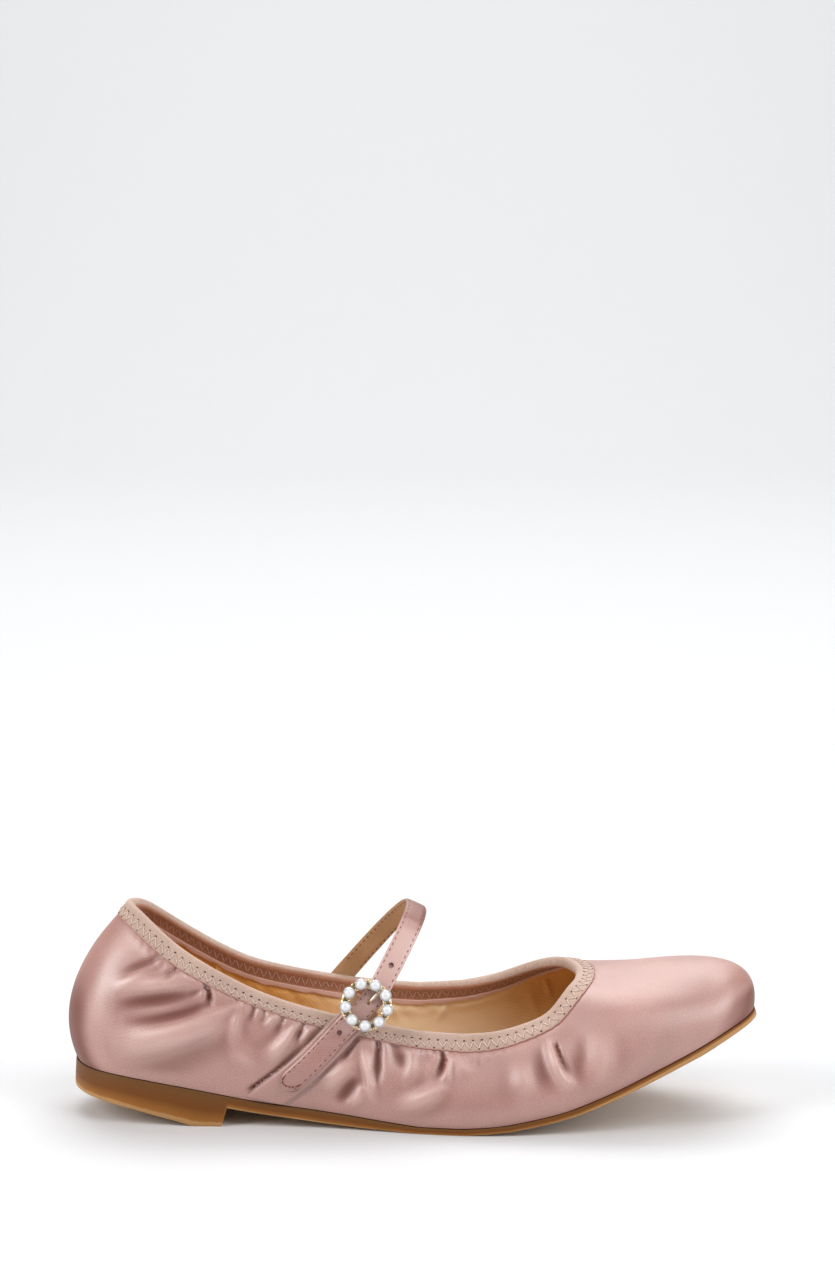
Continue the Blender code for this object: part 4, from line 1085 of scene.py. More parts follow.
def make_zigzag(name, thread, outside):
    """Zigzag thread on one face of the band."""
    at, run = even_places(BAND_COLUMNS, 1.0)
    t = np.arange(0, ZIGZAGS * 2 * 5) / 5.0
    place = np.interp(t * (run[-1] / ZIGZAGS) / 2, run, np.append(at, LOOP))
    width = band_width(place) if outside else np.full_like(place, ELASTIC_INNER - SELVEDGE)
    corner = 1 - np.abs(t % 2 - 1)
    top = ZIGZAG_TOP - (0.0 if outside else 1.2 * MM)
    drop = top + (ZIGZAG_SHARE * width - top) * corner
    bow = np.abs(corner - 0.5) * 2
    height = BAND_LOW + ELASTIC + 0.10 * MM - 0.26 * MM * bow**6
    path = closed(off_wall(place, drop, height if outside else -WALL - height))
    return finish_piece(joined_tubes(name, [path], [THREAD_RADIUS], thread), "elastic")


def make_needle_holes(hole_shade):
    """Needle holes as small near-black points of painted shade at the zigzag's upper corners on both
    faces, and fainter ones at its lower corners.
    """
    at, run = even_places(BAND_COLUMNS, 1.0)
    rng = np.random.default_rng(8)
    paths, radii = [], []
    steps = np.array([-0.1, 0.02, 0.06]) * MM

    def add(place, drop, lift, size):
        """One more hole, which ends in a point."""
        paths.append(off_wall(np.full(3, place), np.full(3, drop), lift))
        radii.append(np.array([size, size, 0.4 * size]) * MM)

    for index in range(2 * ZIGZAGS):
        place = float(np.interp((index / 2) * run[-1] / ZIGZAGS, run, np.append(at, LOOP)))
        face = BAND_LOW + ELASTIC
        if index % 2:
            low = ZIGZAG_SHARE * float(band_width(place)) + 0.30 * MM
            add(place, low, face - 0.12 * MM + steps, rng.uniform(0.08, 0.36))
        else:
            size = rng.uniform(0.34, 0.50)
            add(place, ZIGZAG_TOP - 0.42 * MM, face + 0.02 * MM + steps, size)
            add(place, ZIGZAG_TOP - 1.2 * MM, -WALL - face - 0.22 * MM - steps, size)
    return finish_piece(joined_tubes("needle_holes", paths, radii, hole_shade, 7), "elastic")


def make_edge_cord(satin_dark):
    """The thin fold of satin that shows along the band's lower edge."""
    at, run = even_places(BAND_COLUMNS, 1.0)
    phase = 2 * math.pi * run[:-1] / (run[-1] / ZIGZAGS)
    drop = band_width(at) + 0.12 * MM + 0.10 * MM * np.cos(phase + math.pi)
    path = closed(off_wall(at, drop, np.full_like(at, 0.32 * MM)))
    return finish_piece(joined_tubes("edge_cord", [path], [0.22 * MM], satin_dark), "satin")


def make_insole(leather):
    """The insole: slightly dished, with a soft edge."""
    xs, outer, inner = outline(WALL + 3 * GAP)
    turn = np.linspace(0, math.pi, 180)
    dense = (xs[0] + xs[-1]) / 2 - (xs[-1] - xs[0]) / 2 * np.cos(turn)
    outer, inner = np.interp(dense, xs, outer), np.interp(dense, xs, inner)
    lanes = np.linspace(-1, 1, 21)
    base = sole_top(dense) + WALL + 2 * GAP
    dish = 0.5 * MM * (1 - lanes**2) * 0.8
    edge = 0.7 * MM * np.abs(lanes) ** 14
    y = (outer + inner)[:, None] / 2 + (inner - outer)[:, None] / 2 * lanes
    top = base[:, None] + INSOLE - dish - edge
    low = np.broadcast_to(base[:, None] + 0.1 * MM, top.shape)
    x = np.broadcast_to(dense[:, None], top.shape)
    upper_row, lower_row = np.stack([x, y, top], -1), np.stack([x, y, low], -1)[:, ::-4]
    sections = np.concatenate([upper_row, lower_row], 1)
    across = np.concatenate([lanes, lanes[::-4]]) * BALL_WIDTH / 2
    piece = band_piece("insole_board", sections, dense, across, [leather])
    return finish_piece(piece, "insole_leather", "insole")


def strap_section(width, thickness, groove):
    """Offsets across and above for one section of a strap: its top, then its underside."""
    across = np.linspace(-1, 1, LANES)
    edge = thickness * (1 - 0.45 * np.abs(across) ** 10)
    seam = 1 - 2 * STITCH_INSET / width
    sunk = bell((np.abs(across) - seam) * width / 2, 0.45 * MM)
    crown = 0.10 * MM * (1 - across**2)
    top = edge + crown - groove * sunk
    low_across = across[::-3]
    low = 0.35 * thickness * np.abs(low_across) ** 10
    return np.concatenate([across * width / 2, low_across * width / 2]), np.concatenate([top, low])


def band_rows(path, shares, width, lift, thickness, skew=0.0, groove=SEAM_SINK):
    """Closed sections of a strap along the wall."""
    widths = np.broadcast_to(width, len(shares))
    forward = 0.03 if shares[-1] > shares[0] else -0.03
    rows = []
    for share, wide in zip(shares, widths):
        at, drop = path(share)
        next_at, next_drop = path(share + forward)
        turn, climb = across_wall(at, drop, next_at, next_drop, wide / 2)
        across, above = strap_section(wide, thickness, groove)
        lanes = across / (wide / 2)
        own_at, own_drop = path(share - skew * math.copysign(1.0, climb) * lanes * share)
        own_at, own_drop = own_at + lanes * turn, own_drop + lanes * climb
        rows.append(off_wall(own_at, own_drop, lift(own_drop) + above))
    return rows


def free_row(point, along, out):
    """One closed section of the strap in the air, with its underside at the point."""
    side = unit(np.cross(out, along))
    out = unit(np.cross(along, side))
    across, above = strap_section(STRAP_WIDTH, STRAP, SEAM_SINK)
    return point + across[:, None] * side + above[:, None] * out


def run_along(sections):
    """Distance along a band at each of its sections."""
    return line_run(np.array([s.mean(0) for s in sections]))


def section_materials():
    """Top columns 0, underside columns 1."""
    return np.array([0] * (LANES - 1) + [1] * (len(np.arange(LANES)[::-3]) + 1))


def make_anchor(satin, underside):
    """The wider strap from the sole to the bar, round it and back."""
    shares = np.linspace(1.0, 0.14, 70)
    rows = band_rows(outer_path, shares, ANCHOR_WIDTH, over_binding, ANCHOR, END_SKEW, 0.0)
    axes = buckle_frame_axes()
    across, above = strap_section(ANCHOR_WIDTH, ANCHOR, 0.0)
    reach = BAR_RADIUS + GAP + ANCHOR - above

    def turned(angle, along=0.0):
        """A section turned round the bar."""
        local = (along + math.sin(angle) * reach, across, -math.cos(angle) * reach)
        return placed(np.stack(local, -1), axes)

    rows += [turned(angle) for angle in np.linspace(0, math.pi, 17)]
    rows += [turned(math.pi, -ANCHOR_RETURN * s) for s in (0.5, 1.0)]
    sections, sides = np.array(rows), [satin, underside]
    piece = band_piece("anchor_strap", sections, run_along(sections), across, sides, section_materials())
    return finish_piece(piece, "satin", "strap_anchor")


@lru_cache
def strap_sections():
    """Every section of the strap, from its free end over the instep to the inner side."""
    tip = 0.5 * STRAP_WIDTH / (outer_path(1.0)[1] + BUCKLE_RISE)
    back = 1 - np.cos(np.linspace(0.14, 0.5 * math.pi, 10))
    narrow = np.sqrt(1 - (1 - back) ** 2) * STRAP_WIDTH
    axes = buckle_frame_axes()
    rows = band_rows(outer_path, TIP_SHARE - back * tip, narrow, on_anchor, STRAP)
    shares = np.linspace(TIP_SHARE - 1.15 * tip, 0.22, 56)
    rows += band_rows(outer_path, shares, STRAP_WIDTH, on_anchor, STRAP)
    for along in np.linspace(-STRAIGHT, PEARL_CIRCLE - PLATE_WIDTH, 16):
        rows.append(free_row(placed((along, 0, STRAP_LEVEL), axes), axes[1], axes[3]))
    rows += [free_row(*arch(share)) for share in np.linspace(0, 1, 150)[1:-1]]
    rows += band_rows(inner_path, np.linspace(0, 1, 60), STRAP_WIDTH, over_binding, STRAP, END_SKEW)
    return np.array(rows)


def make_strap(satin, underside, hole_shade):
    """The strap, with painted shade and painted highlight along it, and the holes for the pin."""
    sections = strap_sections()
    across, _ = strap_section(STRAP_WIDTH, STRAP, 0.0)
    run = run_along(sections)
    strap = band_piece("instep_strap", sections, run, across, [satin, underside], section_materials())
    # Painted shade and painted highlight on the strap, by section
    along = np.interp(np.arange(len(sections)), *zip(*STRAP_PAINTED_SHADE))
    store(strap, "painted_shade", np.repeat(along, sections.shape[1]))
    # The holes' walls get painted shade
    punch(strap, strap_holes(), hole_shade)
    return finish_piece(strap, "satin", "strap")


def strap_holes():
    """Both ends of each hole in the strap. The prong's hole goes through it; the two others stop short of
    its underside, and their near-black walls and floors are painted shade.
    """
    axes = buckle_frame_axes()
    prong_at = BAR_RADIUS + GAP + 2 * PRONG_RADIUS
    low_at, low_drop = outer_path(HOLE_SHARE)
    point, _, out = arch(HOLE_ARCH_SHARE)
    return [
        placed([(prong_at, 0, 0), (prong_at, 0, 2 * PLATE_LEVEL)], axes),
        off_wall(low_at, low_drop, on_anchor(low_drop) + np.array([0.3, 3.0]) * STRAP),
        np.array([point + 0.3 * STRAP * out, point + 2 * STRAP * out]),
    ]


def punch(piece, holes, hole_shade):
    """Cuts round holes through a piece. Their walls get the cutter's material."""
    for ends in holes:
        cutter = joined_tubes("hole_cutter", [np.asarray(ends)], [HOLE_RADIUS], hole_shade, 20)
        modifier = piece.modifiers.new("hole", "BOOLEAN")
        modifier.operation = "DIFFERENCE"
        modifier.solver = "EXACT"
        modifier.object = cutter
        shaped = piece.evaluated_get(bpy.context.evaluated_depsgraph_get())
        mesh = bpy.data.meshes.new_from_object(shaped)
        piece.modifiers.clear()
        old = piece.data
        piece.data = mesh
        mesh.name = old.name
        bpy.data.meshes.remove(old)
        bpy.data.objects.remove(cutter)


def seam_stitches(sections, run, offset, lead, tail):
    """Short paths along a line on the strap's top, one for each stitch."""
    across, _ = strap_section(STRAP_WIDTH, STRAP, SEAM_SINK)
    lanes = across[:LANES]
    column = np.array([[np.interp(offset, lanes, row[:LANES, k]) for k in range(3)] for row in sections])
    steps = 0.55 * MM * np.array([-1.0, 0.0, 1.0])
    return [
        line_points(stop + steps, run, column)
        for stop in np.arange(lead, run[-1] - tail, STITCH)
    ]


def make_strap_stitches(thread):
    """Stitches along both edges of the strap, above and under its arch."""
    sections = strap_sections()
    arched = sections[ARCH_SECTIONS]
    under = arched[:, :LANES] - 1.02 * (arched[:, 9] - arched[:, 22])[:, None]
    seam = STRAP_WIDTH / 2 - STITCH_INSET
    paths = []
    for rows, run, lead, tail in (
        (sections, run_along(sections), 3.5 * MM, 3 * MM),
        (under, run_along(arched), 2 * MM, 2 * MM),
    ):
        for offset in (-seam, seam):
            paths += seam_stitches(rows, run, offset, lead, tail)
    radii = [np.array([0.10, 0.22, 0.10]) * MM] * len(paths)
    return finish_piece(joined_tubes("strap_stitches", paths, radii, thread), "satin")


def make_tip_stitches(thread):
    """A curved row of stitches across the strap just above its tip."""
    shares = TIP_SHARE - np.array([0.060, 0.034, 0.026, 0.030, 0.042, 0.056, 0.076, 0.120])
    offsets = np.linspace(-0.40, 0.40, len(shares)) * STRAP_WIDTH
    paths = []
    for i in range(len(shares) - 1):
        ends = []
        for k in (i + 0.12, i + 0.5, i + 0.88):
            share = float(np.interp(k, range(len(shares)), shares))
            offset = float(np.interp(k, range(len(shares)), offsets))
            at, drop = outer_path(share)
            turn, climb = across_wall(at, drop, *outer_path(share + 0.03), abs(offset) + 1e-9)
            side = math.copysign(1.0, offset)
            at, drop = at + side * turn, drop + side * climb
            ends.append(off_wall(at, drop, on_anchor(drop) + STRAP + 0.08 * MM))
        paths.append(np.array(ends))
    radii = [np.array([0.20, 0.40, 0.20]) * MM] * len(paths)
    return finish_piece(joined_tubes("tip_stitches", paths, radii, thread), "satin")


def ring_sections(radius, size, level, axes, flat):
    """Sections of a flattened wire bent into a ring in the buckle's plane."""
    sections = []
    for angle in np.arange(72) * 2 * math.pi / 72:
        turn = np.arange(12) * 2 * math.pi / 12
        r = radius + size * np.cos(turn)
        local = (r * math.cos(angle), r * math.sin(angle), level + flat * size * np.sin(turn))
        sections.append(placed(np.stack(local, -1), axes))
    return np.array(sections)


def make_buckle_ring(gold):
    """The ring plate with a soft edge, and the bar whose ends bend up to it."""
    axes = buckle_frame_axes()
    middle = PLATE_LEVEL + PLATE / 2
    sections = ring_sections(PEARL_CIRCLE, PLATE_WIDTH / 2 + 0.05 * MM, middle, axes, 0.28)
    faces, r, c = grid_faces(*sections.shape[:2], True)
    uvs = np.stack([c, r], -1) * 0.5
    ring = mesh_piece("buckle_ring", sections.reshape(-1, 3), faces, uvs, [gold])
    finish_piece(ring, "gold_metal", "buckle_frame")
    bend, side = 0.9 * MM, -PEARL_CIRCLE
    path = [(0, side, middle), (0, side, bend), (0, side + 0.3 * bend, 0.3 * bend), (0, side + bend, 0)]
    path += [(0, -y, z) for _, y, z in reversed(path)]
    bar = joined_tubes("buckle_bar", [placed(path, axes)], [BAR_RADIUS], gold, 12)
    return finish_piece(bar, "gold_metal")


def pearl_angles():
    """Directions of the pearls round the ring."""
    return math.radians(PEARL_TURN) + 2 * math.pi * np.arange(PEARLS) / PEARLS


def revolved(profile, centre, axes, segments):
    """Sections of a turned shape standing on the buckle's plane: radius and level for each row."""
    turn = np.arange(segments) * 2 * math.pi / segments
    x, y = centre
    rows = []
    for radius, level in profile:
        local = (x + radius * np.cos(turn), y + radius * np.sin(turn), np.full(segments, level))
        rows.append(placed(np.stack(local, -1), axes))
    return np.array(rows)


def make_pearls(pearl):
    """Pearls, each flat where it sits in its cup, with a faint drill mark at its crown."""
    axes = buckle_frame_axes()
    seat = PLATE_LEVEL + PLATE + GAP + 0.8 * PEARL_RADIUS
    rises = np.linspace(math.asin(-0.8), math.radians(87), 18)
    profile = [(BEAD_RADIUS * math.cos(rise), seat + BEAD_RADIUS * math.sin(rise)) for rise in rises]
    run, across = np.arange(18) * 0.25 * MM, np.arange(28) * 0.5 * MM
    for number, angle in enumerate(pearl_angles(), 1):
        centre = (PEARL_CIRCLE * math.cos(angle), PEARL_CIRCLE * math.sin(angle))
        sections = revolved(profile, centre, axes, 28)
        piece = band_piece(f"pearl_bead_{number}", sections, run, across, [pearl], None, 80.0)
        finish_piece(piece, "pearl", f"pearl_{number}")


def make_claws(gold):
    """A cup under each pearl and a pair of small balls between each two, which hold them."""
    axes = buckle_frame_axes()
    top = PLATE_LEVEL + PLATE
    paths, radii = [], []

    def add(radius, angle, levels, sizes):
        """One more turned shape on the plate."""
        x, y = radius * math.cos(angle), radius * math.sin(angle)
        paths.append(placed([(x, y, top + level * MM) for level in levels], axes))
        radii.append(np.array(sizes) * MM)

    for angle in pearl_angles():
        add(PEARL_CIRCLE, angle, CUP_LEVELS, CUP_SIZES)
        for radius in (PEARL_CIRCLE - 1.05 * MM, PEARL_CIRCLE + 1.15 * MM):
            add(radius, angle + math.pi / PEARLS, BALL_LEVELS, BALL_SIZES)
    return finish_piece(joined_tubes("pearl_claws", paths, radii, gold, 14), "gold_metal")


def make_prong(ivory_gold):
    """The pin: round the bar, up through its hole and flat over the ring."""
    axes = buckle_frame_axes()
    round_bar = BAR_RADIUS + GAP + PRONG_RADIUS
    over = PLATE_LEVEL + PLATE + GAP + PRONG_RADIUS
    hole = BAR_RADIUS + GAP + 2 * PRONG_RADIUS
    turns = np.linspace(-0.2, -2.8, 14)
    path = [(round_bar * math.sin(a), 0, -round_bar * math.cos(a)) for a in turns]
    path += [(hole - 0.7 * MM, 0, round_bar), (hole, 0, STRAP_LEVEL)]
    path += [(hole, 0, STRAP_LEVEL + STRAP + 0.2 * MM), (hole + 0.5 * MM, 0, over - 0.9 * MM)]
    path += [(hole + 1.3 * MM, 0, over - 0.3 * MM)]
    reach = np.linspace(PEARL_CIRCLE - PLATE_WIDTH / 2 - 0.6 * MM, PEARL_CIRCLE + 1.1 * MM, 6)
    path += [(x, 0, over) for x in reach]
    sizes = np.full(len(path), PRONG_RADIUS)
    sizes[-len(PIN_SIZES) :] = np.array(PIN_SIZES) * PRONG_RADIUS
    piece = joined_tubes("pin", [placed(path, axes)], [sizes], ivory_gold, 14)
    return finish_piece(piece, "gold_metal", "buckle_prong")


def make_sole(rubber):
    """The moulded sole with rounded edges, a fine lip at its top and a square heel front."""
    step = 0.6 * MM
    flats = (BALL_FLAT[0] * LENGTH, BALL_FLAT[1] * LENGTH, BREAST_X - HEEL_FLAT)
    xs, outer, inner = outline(-SOLE_LIP, flats + (BREAST_X, BREAST_X + step))
    top = sole_top(xs)
    slope = (sole_top(xs + step) - sole_top(xs - step)) / (2 * step)
    bottom = np.where(xs <= BREAST_X, heel_bottom(xs), top - sole_thickness(xs) * np.sqrt(1 + slope**2))
    bottom = np.maximum(bottom, 0.0)
    bottom[(xs >= flats[0]) & (xs <= flats[1])] = 0.0
    shift = (top - bottom) * slope
    height = top - bottom
    rng = np.random.default_rng(5)
    sections = []
    shares, ins = np.array(SOLE_LEVELS), np.array(SOLE_INSETS) * MM
    for x, yo, yi, zt, h, s in zip(xs, outer, inner, top, height, shift):
        half = (yi - yo) / 2
        own = np.minimum(ins, 0.6 * half)
        rough = rng.normal(0, 0.04 * MM, len(shares)) * (shares > 0.8)
        left = [(x + s * share, yo + i + r, zt - h * share) for share, i, r in zip(shares, own, rough)]
        right = [(x + s * share, yi - i, zt - h * share) for share, i in zip(shares, own)]
        lanes = np.linspace(yo + own[-1], yi - own[-1], 7)[1:-1]
        under = [(x + s, y, zt - h) for y in lanes]
        over = [(x, y, zt) for y in np.linspace(yi - own[0], yo + own[0], 5)[1:-1]]
        sections.append(left + under + right[::-1] + over)
    sections = np.array(sections)
    across = np.concatenate([shares, np.ones(5), shares[::-1], np.zeros(3)]) * MM
    piece = band_piece("sole_unit", sections, xs, across, [rubber], None, 42.0)
    return finish_piece(piece, "gum_rubber", "outsole")


class Shader:
    """A material whose nodes are added one by one."""

    def __init__(self, name):
        self.material = bpy.data.materials.new(name)
        self.material.use_nodes = True
        self.nodes = self.material.node_tree.nodes
        self.finish = self.nodes["Principled BSDF"].inputs

    def fill(self, target, value):
        """Links an output to an input, or sets the input to a plain value."""
        if isinstance(value, bpy.types.NodeSocket):
            self.material.node_tree.links.new(value, target)
        else:
            target.default_value = value

    def add(self, kind, output, **settings):
        """An output of a new node. Each setting fills an input or is the node's own."""
        node = self.nodes.new(kind)
        for key, value in settings.items():
            if hasattr(node, key):
                setattr(node, key, value)
            else:
                self.fill(node.inputs[key.replace("_", " ")], value)
        return node.outputs[output]

    def set(self, **values):
        """Fills inputs of the finish itself."""
        for key, value in values.items():
            self.fill(self.finish[key.replace("_", " ")], value)

    def math(self, operation, one, two):
        """A sum, difference or product of outputs and plain numbers."""
        node = self.nodes.new("ShaderNodeMath")
        node.operation = operation
        self.fill(node.inputs[0], one)
        self.fill(node.inputs[1], two)
        return node.outputs[0]

    def scaled(self, source, factor, plus):
        """A source times a factor, and something added."""
        return self.math("ADD", self.math("MULTIPLY", source, factor), plus)

    def real_uv(self, x, y):
        """Real sizes from the UV map: its unit is a millimetre."""
        place = self.add("ShaderNodeTexCoord", "UV")
        return self.add("ShaderNodeMapping", "Vector", Vector=place, Scale=(x, y, 1.0))

    def noise(self, scale, detail, place=None):
        """Noise over a place, or else over the piece's own space."""
        place = place or self.add("ShaderNodeTexCoord", "Object")
        return self.add("ShaderNodeTexNoise", "Fac", Vector=place, Scale=scale, Detail=detail)

    def ramp(self, source, stops):
        """Colours along a value."""
        node = self.nodes.new("ShaderNodeValToRGB")
        self.fill(node.inputs["Fac"], source)
        band = node.color_ramp
        while len(band.elements) < len(stops):
            band.elements.new(0.5)
        for element, (place, colour) in zip(band.elements, stops):
            element.position = place
            element.color = (*colour, 1.0)
        return node.outputs["Color"]

    def relief(self, height, strength, distance):
        """Fine relief on the surface."""
        bump = self.add("ShaderNodeBump", "Normal", Height=height, Strength=strength, Distance=distance)
        self.set(Normal=bump)

    def eased(self, source, low, high, first=0.0, last=1.0):
        """A value carried smoothly from first, where the source is low, to last, where it is high."""
        return self.add(
            "ShaderNodeMapRange", "Result", interpolation_type="SMOOTHSTEP", Value=source,
            From_Min=low, From_Max=high, To_Min=first, To_Max=last,
        )

    def blend_base(self, share, low):
        """Blends the base colour so far with a plain colour, which is full where the share is 0."""
        node = self.nodes.new("ShaderNodeMix")
        node.data_type = "RGBA"
        self.fill(node.inputs[0], share)
        self.fill(node.inputs[6], (*low, 1.0))
        self.fill(node.inputs[7], self.finish["Base Color"].links[0].from_socket)
        self.set(Base_Color=node.outputs[2])

    def stored(self, name):
        """The value that the mesh keeps for each point under a name."""
        return self.add("ShaderNodeAttribute", "Fac", attribute_name=name)


def cloth(name, colours, weave, roughness, sheen, bump, spread, twill):
    """Woven cloth: fine threads, a twill line, slow changes of colour, and slightly uneven gloss."""
    made = Shader(name)
    threads = made.noise(1.0, 2.0, made.real_uv(weave[0], weave[1]))
    cloud = made.noise(1.0, 3.0, made.real_uv(0.045, 0.06))
    line = made.add(
        "ShaderNodeTexWave", "Fac", Vector=made.real_uv(1.0, 1.0), Scale=weave[2], Distortion=0.6,
        wave_type="BANDS", bands_direction="DIAGONAL",
    )
    mixed = made.scaled(line, twill * 0.7, made.math("MULTIPLY", threads, 1.0 - twill))
    tone = made.scaled(mixed, spread, made.math("MULTIPLY", cloud, 1.0 - spread))
    gloss = made.scaled(made.math("SUBTRACT", cloud, 0.5), 0.16, roughness)
    made.set(
        Base_Color=made.ramp(tone, list(zip((0.25, 0.48, 0.72), colours))), Roughness=gloss,
        Sheen_Weight=sheen, Sheen_Roughness=0.45, Sheen_Tint=SHEEN_TINT,
    )
    made.relief(mixed, bump, 0.00012)
    return made


def satin_material():
    """Satin: broad sheen, with painted shade in its folds and where a side wall turns away from the eye,
    and a painted highlight on its ridges.
    """
    made = cloth("rose_satin", SATIN_COLOURS, (1.5, 2.0, 0.47), 0.49, 0.10, 0.60, 0.62, 0.13)
    # Painted shade where an upright wall turns away from the eye
    turned = made.eased(made.add("ShaderNodeLayerWeight", "Facing", Blend=0.5), 0.22, 0.66)
    normal = made.add("ShaderNodeNewGeometry", "Normal")
    upright = made.eased(made.add("ShaderNodeSeparateXYZ", "Z", Vector=normal), 0.55, 0.15)
    away = made.math("MULTIPLY", turned, upright)
    # Stored mask for painted shade and painted highlight: fold depth on the shell, listed tones on the
    # strap
    sunk = made.stored("painted_shade")
    painted_light = made.eased(away, 0.0, 1.0, 1.0, 0.2)
    made.blend_base(made.math("MULTIPLY", painted_light, made.eased(sunk, -0.05, 1.05, 1.0, 0.05)), SATIN_PAINTED_SHADE)
    # Painted highlight where the stored mask is below zero
    made.blend_base(made.eased(sunk, -0.02, -1.0, 1.0, 0.55), SATIN_PAINTED_HIGHLIGHT)
    # Lower specular level under the painted shade
    gloss = made.eased(away, 0.0, 1.0, 1.0, 0.15)
    gloss = made.math("MULTIPLY", gloss, made.eased(sunk, -0.05, 1.0, 1.0, 0.2))
    made.set(Specular_IOR_Level=gloss, Anisotropic=0.3, IOR=1.82)
    return made.material


def lining_material():
    """Tan lining, painted paler on part of its inner side as painted light."""
    made = cloth("tan_lining", LINING_COLOURS, (0.35, 2.8, 0.30), 0.62, 0.15, 0.45, 0.6, 0.25)
    made.blend_base(made.eased(made.stored("painted_light"), 0.0, 1.0, 1.0, 0.25), LINING_PAINTED_LIGHT)
    return made.material


def elastic_material(name, colours):
    """Ribbed cloth with little gloss."""
    return cloth(name, colours, (0.8, 4.2, 0.7), 0.68, 0.2, 0.5, 0.55, 0.2).material


def leather_material():
    """The insole: smooth leather with a fine grain."""
    made = Shader("insole_leather")
    place = made.add("ShaderNodeTexCoord", "Object")
    grain = made.add("ShaderNodeTexVoronoi", "Distance", Vector=place, Scale=1500.0)
    cloud = made.noise(45.0, 4.0)
    made.set(Base_Color=made.ramp(cloud, LEATHER_STOPS), Roughness=made.scaled(cloud, 0.2, 0.45))
    made.relief(grain, 0.25, 0.0002)
    return made.material


def rubber_material():
    """Gum rubber: brown at the top of its side, warmer and paler towards its lower edge and the toe."""
    made = Shader("gum_rubber")
    level = made.add("ShaderNodeSeparateXYZ", "X", Vector=made.real_uv(1.0, 1.0))
    speck = made.noise(1800.0, 2.0)
    shade = made.scaled(speck, 0.08, made.scaled(made.noise(60.0, 3.0), 0.16, level))
    place = made.add("ShaderNodeNewGeometry", "Position")
    forward = made.eased(made.add("ShaderNodeSeparateXYZ", "X", Vector=place), 0.03, 0.11, 0.0, 0.5)
    colour = made.ramp(made.math("ADD", shade, forward), RUBBER_STOPS)
    made.set(Base_Color=colour, Roughness=made.scaled(speck, 0.25, 0.38), Specular_IOR_Level=0.15)
    made.relief(speck, 0.2, 0.0002)
    return made.material


def gold_material(name, colour, roughness):
    """Pale gold, worn a little darker in spots."""
    made = Shader(name)
    wear = made.noise(900.0, 3.0)
    darker = tuple(0.72 * value for value in colour)
    rough = made.scaled(wear, 0.2, roughness)
    made.set(Base_Color=made.ramp(wear, [(0.3, darker), (0.6, colour)]), Roughness=rough, Metallic=1.0)
    return made.material


def pearl_material():
    """Pearl: a glossy coat over soft white, painted by how it faces the eye: a pale centre as painted
    highlight, a grey-blue ring and a dark rim as painted shade, with a faint blue and rose bloom.
    """
    made = Shader("pearl")
    bloom = made.noise(350.0, 1.0)
    facing = made.add("ShaderNodeLayerWeight", "Facing", Blend=0.45)
    made.set(
        Base_Color=made.ramp(made.scaled(bloom, 0.14, facing), PEARL_PAINTED_LIGHT_STOPS),
        Roughness=made.scaled(bloom, 0.1, 0.12), Coat_Weight=1.0, Coat_Roughness=0.04, Coat_IOR=1.7,
        Subsurface_Weight=0.15, Subsurface_Radius=(0.001, 0.001, 0.001),
    )
    return made.material


def thread_material(name, colour, roughness=0.6):
    """Thread, dull and slightly uneven along its length."""
    made = Shader(name)
    fuzz = made.noise(2500.0, 2.0)
    darker = tuple(0.7 * value for value in colour)
    rough = made.scaled(fuzz, 0.2, roughness)
    made.set(Base_Color=made.ramp(fuzz, [(0.3, darker), (0.65, colour)]), Roughness=rough)
    made.relief(fuzz, 0.4, 0.0001)
    return made.material


def make_floor():
    """A plain pale floor that turns up softly far behind the shoe."""
    half, back, radius, height = 4.0, 2.2, 1.2, 4.0
    profile = [(-4.0, 0.0), (back, 0.0)]
    for angle in np.linspace(0, math.pi / 2, 17)[1:]:
        profile.append((back + radius * math.sin(angle), radius * (1 - math.cos(angle))))
    profile.append((back + radius, height))
    points = [(x, y, z) for y, z in profile for x in (-half, half)]
    faces = [(2 * i, 2 * i + 1, 2 * i + 3, 2 * i + 2) for i in range(len(profile) - 1)]
    mesh = bpy.data.meshes.new("floor")
    mesh.from_pydata(points, [], faces)
    mesh.shade_smooth()
    made = Shader("floor_white")
    made.set(Base_Color=FLOOR_COLOUR, Roughness=0.55, Specular_IOR_Level=0.25)
    mesh.materials.append(made.material)
    floor = bpy.data.objects.new("floor", mesh)
    bpy.context.scene.collection.objects.link(floor)


def area_light(name, place, target, size, power, colour):
    """A softbox, aimed at a point."""
    data = bpy.data.lights.new(name, "AREA")
    data.shape = "RECTANGLE"
    data.size, data.size_y = size
    data.energy = power
    data.color = colour
    lamp = bpy.data.objects.new(name, data)
    bpy.context.scene.collection.objects.link(lamp)
    lamp.location = place
    away = Vector(place) - Vector(target)
    lamp.rotation_euler = away.to_track_quat("Z", "Y").to_euler()


def make_lights():
    """Softboxes to the left and right, a weak one in front, one high behind, strips by both ends."""
    for light in LIGHTS:
        area_light(*light)
    world = bpy.data.worlds.new("studio")
    world.use_nodes = True
    background = world.node_tree.nodes["Background"]
    background.inputs["Color"].default_value = (*WHITE, 1.0)
    background.inputs["Strength"].default_value = WORLD_LIGHT
    bpy.context.scene.world = world


def set_view():
    """Colours are shown as they are lit, without a film curve."""
    bpy.context.scene.view_settings.view_transform = "Standard"
    bpy.context.scene.view_settings.look = "None"


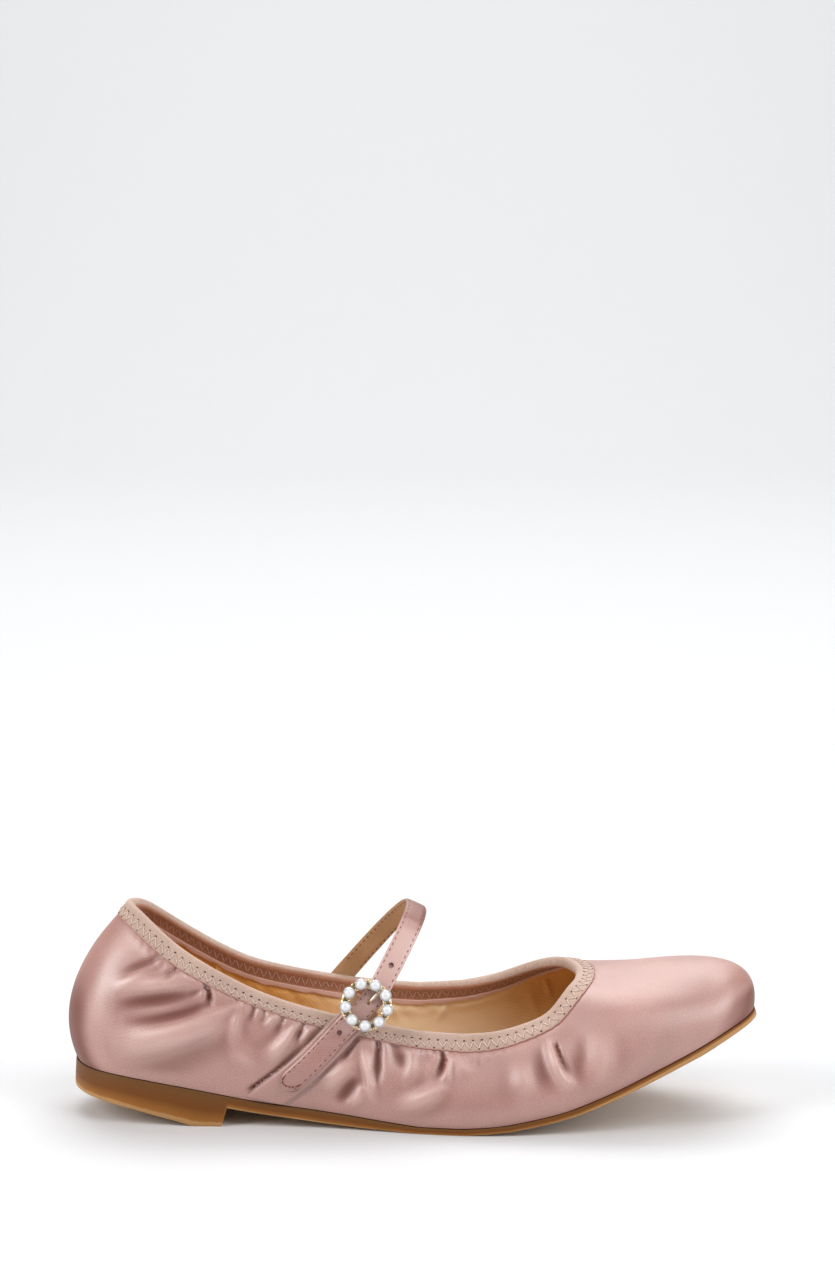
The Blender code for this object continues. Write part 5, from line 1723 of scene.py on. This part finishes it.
def make_camera():
    """The photograph's view: a long lens a little above the shoe, which sits low in a tall frame."""
    data = bpy.data.cameras.new("camera")
    data.lens = LENS
    data.sensor_width = SENSOR
    data.clip_start = 0.05
    data.clip_end = 50.0
    camera = bpy.data.objects.new("camera", data)
    bpy.context.scene.collection.objects.link(camera)
    focal = LENS / SENSOR * PHOTO_HEIGHT
    below = math.atan((AIM_PIXEL_Y - PHOTO_HEIGHT / 2) / focal)
    pitch = VIEW_RISE - below
    distance = focal / PIXELS_PER_MM * MM
    forward = np.array([0.0, math.cos(pitch), -math.sin(pitch)])
    up = np.array([0.0, math.sin(pitch), math.cos(pitch)])
    ray = forward - up * (AIM_PIXEL_Y - PHOTO_HEIGHT / 2) / focal
    aim = np.array([AIM_X, 0.0, 0.0]) - MIDDLE * (1, 1, 0)
    camera.location = aim - ray * distance
    camera.rotation_euler = (math.pi / 2 - pitch, 0.0, 0.0)
    bpy.context.scene.camera = camera


def find_middle():
    """Where the solids' origin lies in the last's frame, read from the insole's own box."""
    xs, outer, _ = outline(WALL + 3 * GAP)
    low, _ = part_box("insole")
    return np.array([xs[0] - low.x, outer.min() - low.y, 0.0])


MIDDLE = find_middle()

set_view()
make_camera()
make_floor()
make_lights()

SATIN = satin_material()
LINING = lining_material()
BAND = elastic_material("elastic_band", BAND_COLOURS)
BAND_INSIDE = elastic_material("elastic_inside", BAND_INSIDE_COLOURS)
SELVEDGE_SATIN = cloth("selvedge", SELVEDGE_COLOURS, (3.0, 1.0, 1.2), 0.6, 0.2, 0.3, 0.5, 0.6).material
UNDERSIDE = elastic_material("strap_underside", UNDERSIDE_COLOURS)
THREAD = thread_material("band_thread", (0.80, 0.63, 0.54))
DARK_THREAD = thread_material("band_thread_inside", (0.66, 0.45, 0.36))
RED_THREAD = thread_material("strap_thread", (0.22, 0.060, 0.045))
# Painted shade of the needle holes
NEEDLE_HOLE_SHADE = thread_material("needle_hole_painted_shade", (0.050, 0.022, 0.016))
CORD_SATIN = thread_material("edge_satin", (0.52, 0.27, 0.22), 0.45)
# Painted shade on the walls of the holes in the strap
HOLE_PAINTED_SHADE = thread_material("hole_wall_painted_shade", (0.10, 0.05, 0.04))
GOLD = gold_material("pale_gold", (0.83, 0.66, 0.42), 0.16)
PIN_GOLD = gold_material("pin_gold", (0.90, 0.80, 0.62), 0.24)

make_sole(rubber_material())
make_shell(SATIN)
make_lining(LINING)
make_insole(leather_material())
make_band(BAND, BAND_INSIDE, SELVEDGE_SATIN)
make_zigzag("zigzag_outside", THREAD, True)
make_zigzag("zigzag_inside", DARK_THREAD, False)
make_needle_holes(NEEDLE_HOLE_SHADE)
make_edge_cord(CORD_SATIN)
make_anchor(SATIN, UNDERSIDE)
make_strap(SATIN, UNDERSIDE, HOLE_PAINTED_SHADE)
make_strap_stitches(RED_THREAD)
make_tip_stitches(RED_THREAD)
make_buckle_ring(GOLD)
make_claws(GOLD)
make_pearls(pearl_material())
make_prong(PIN_GOLD)
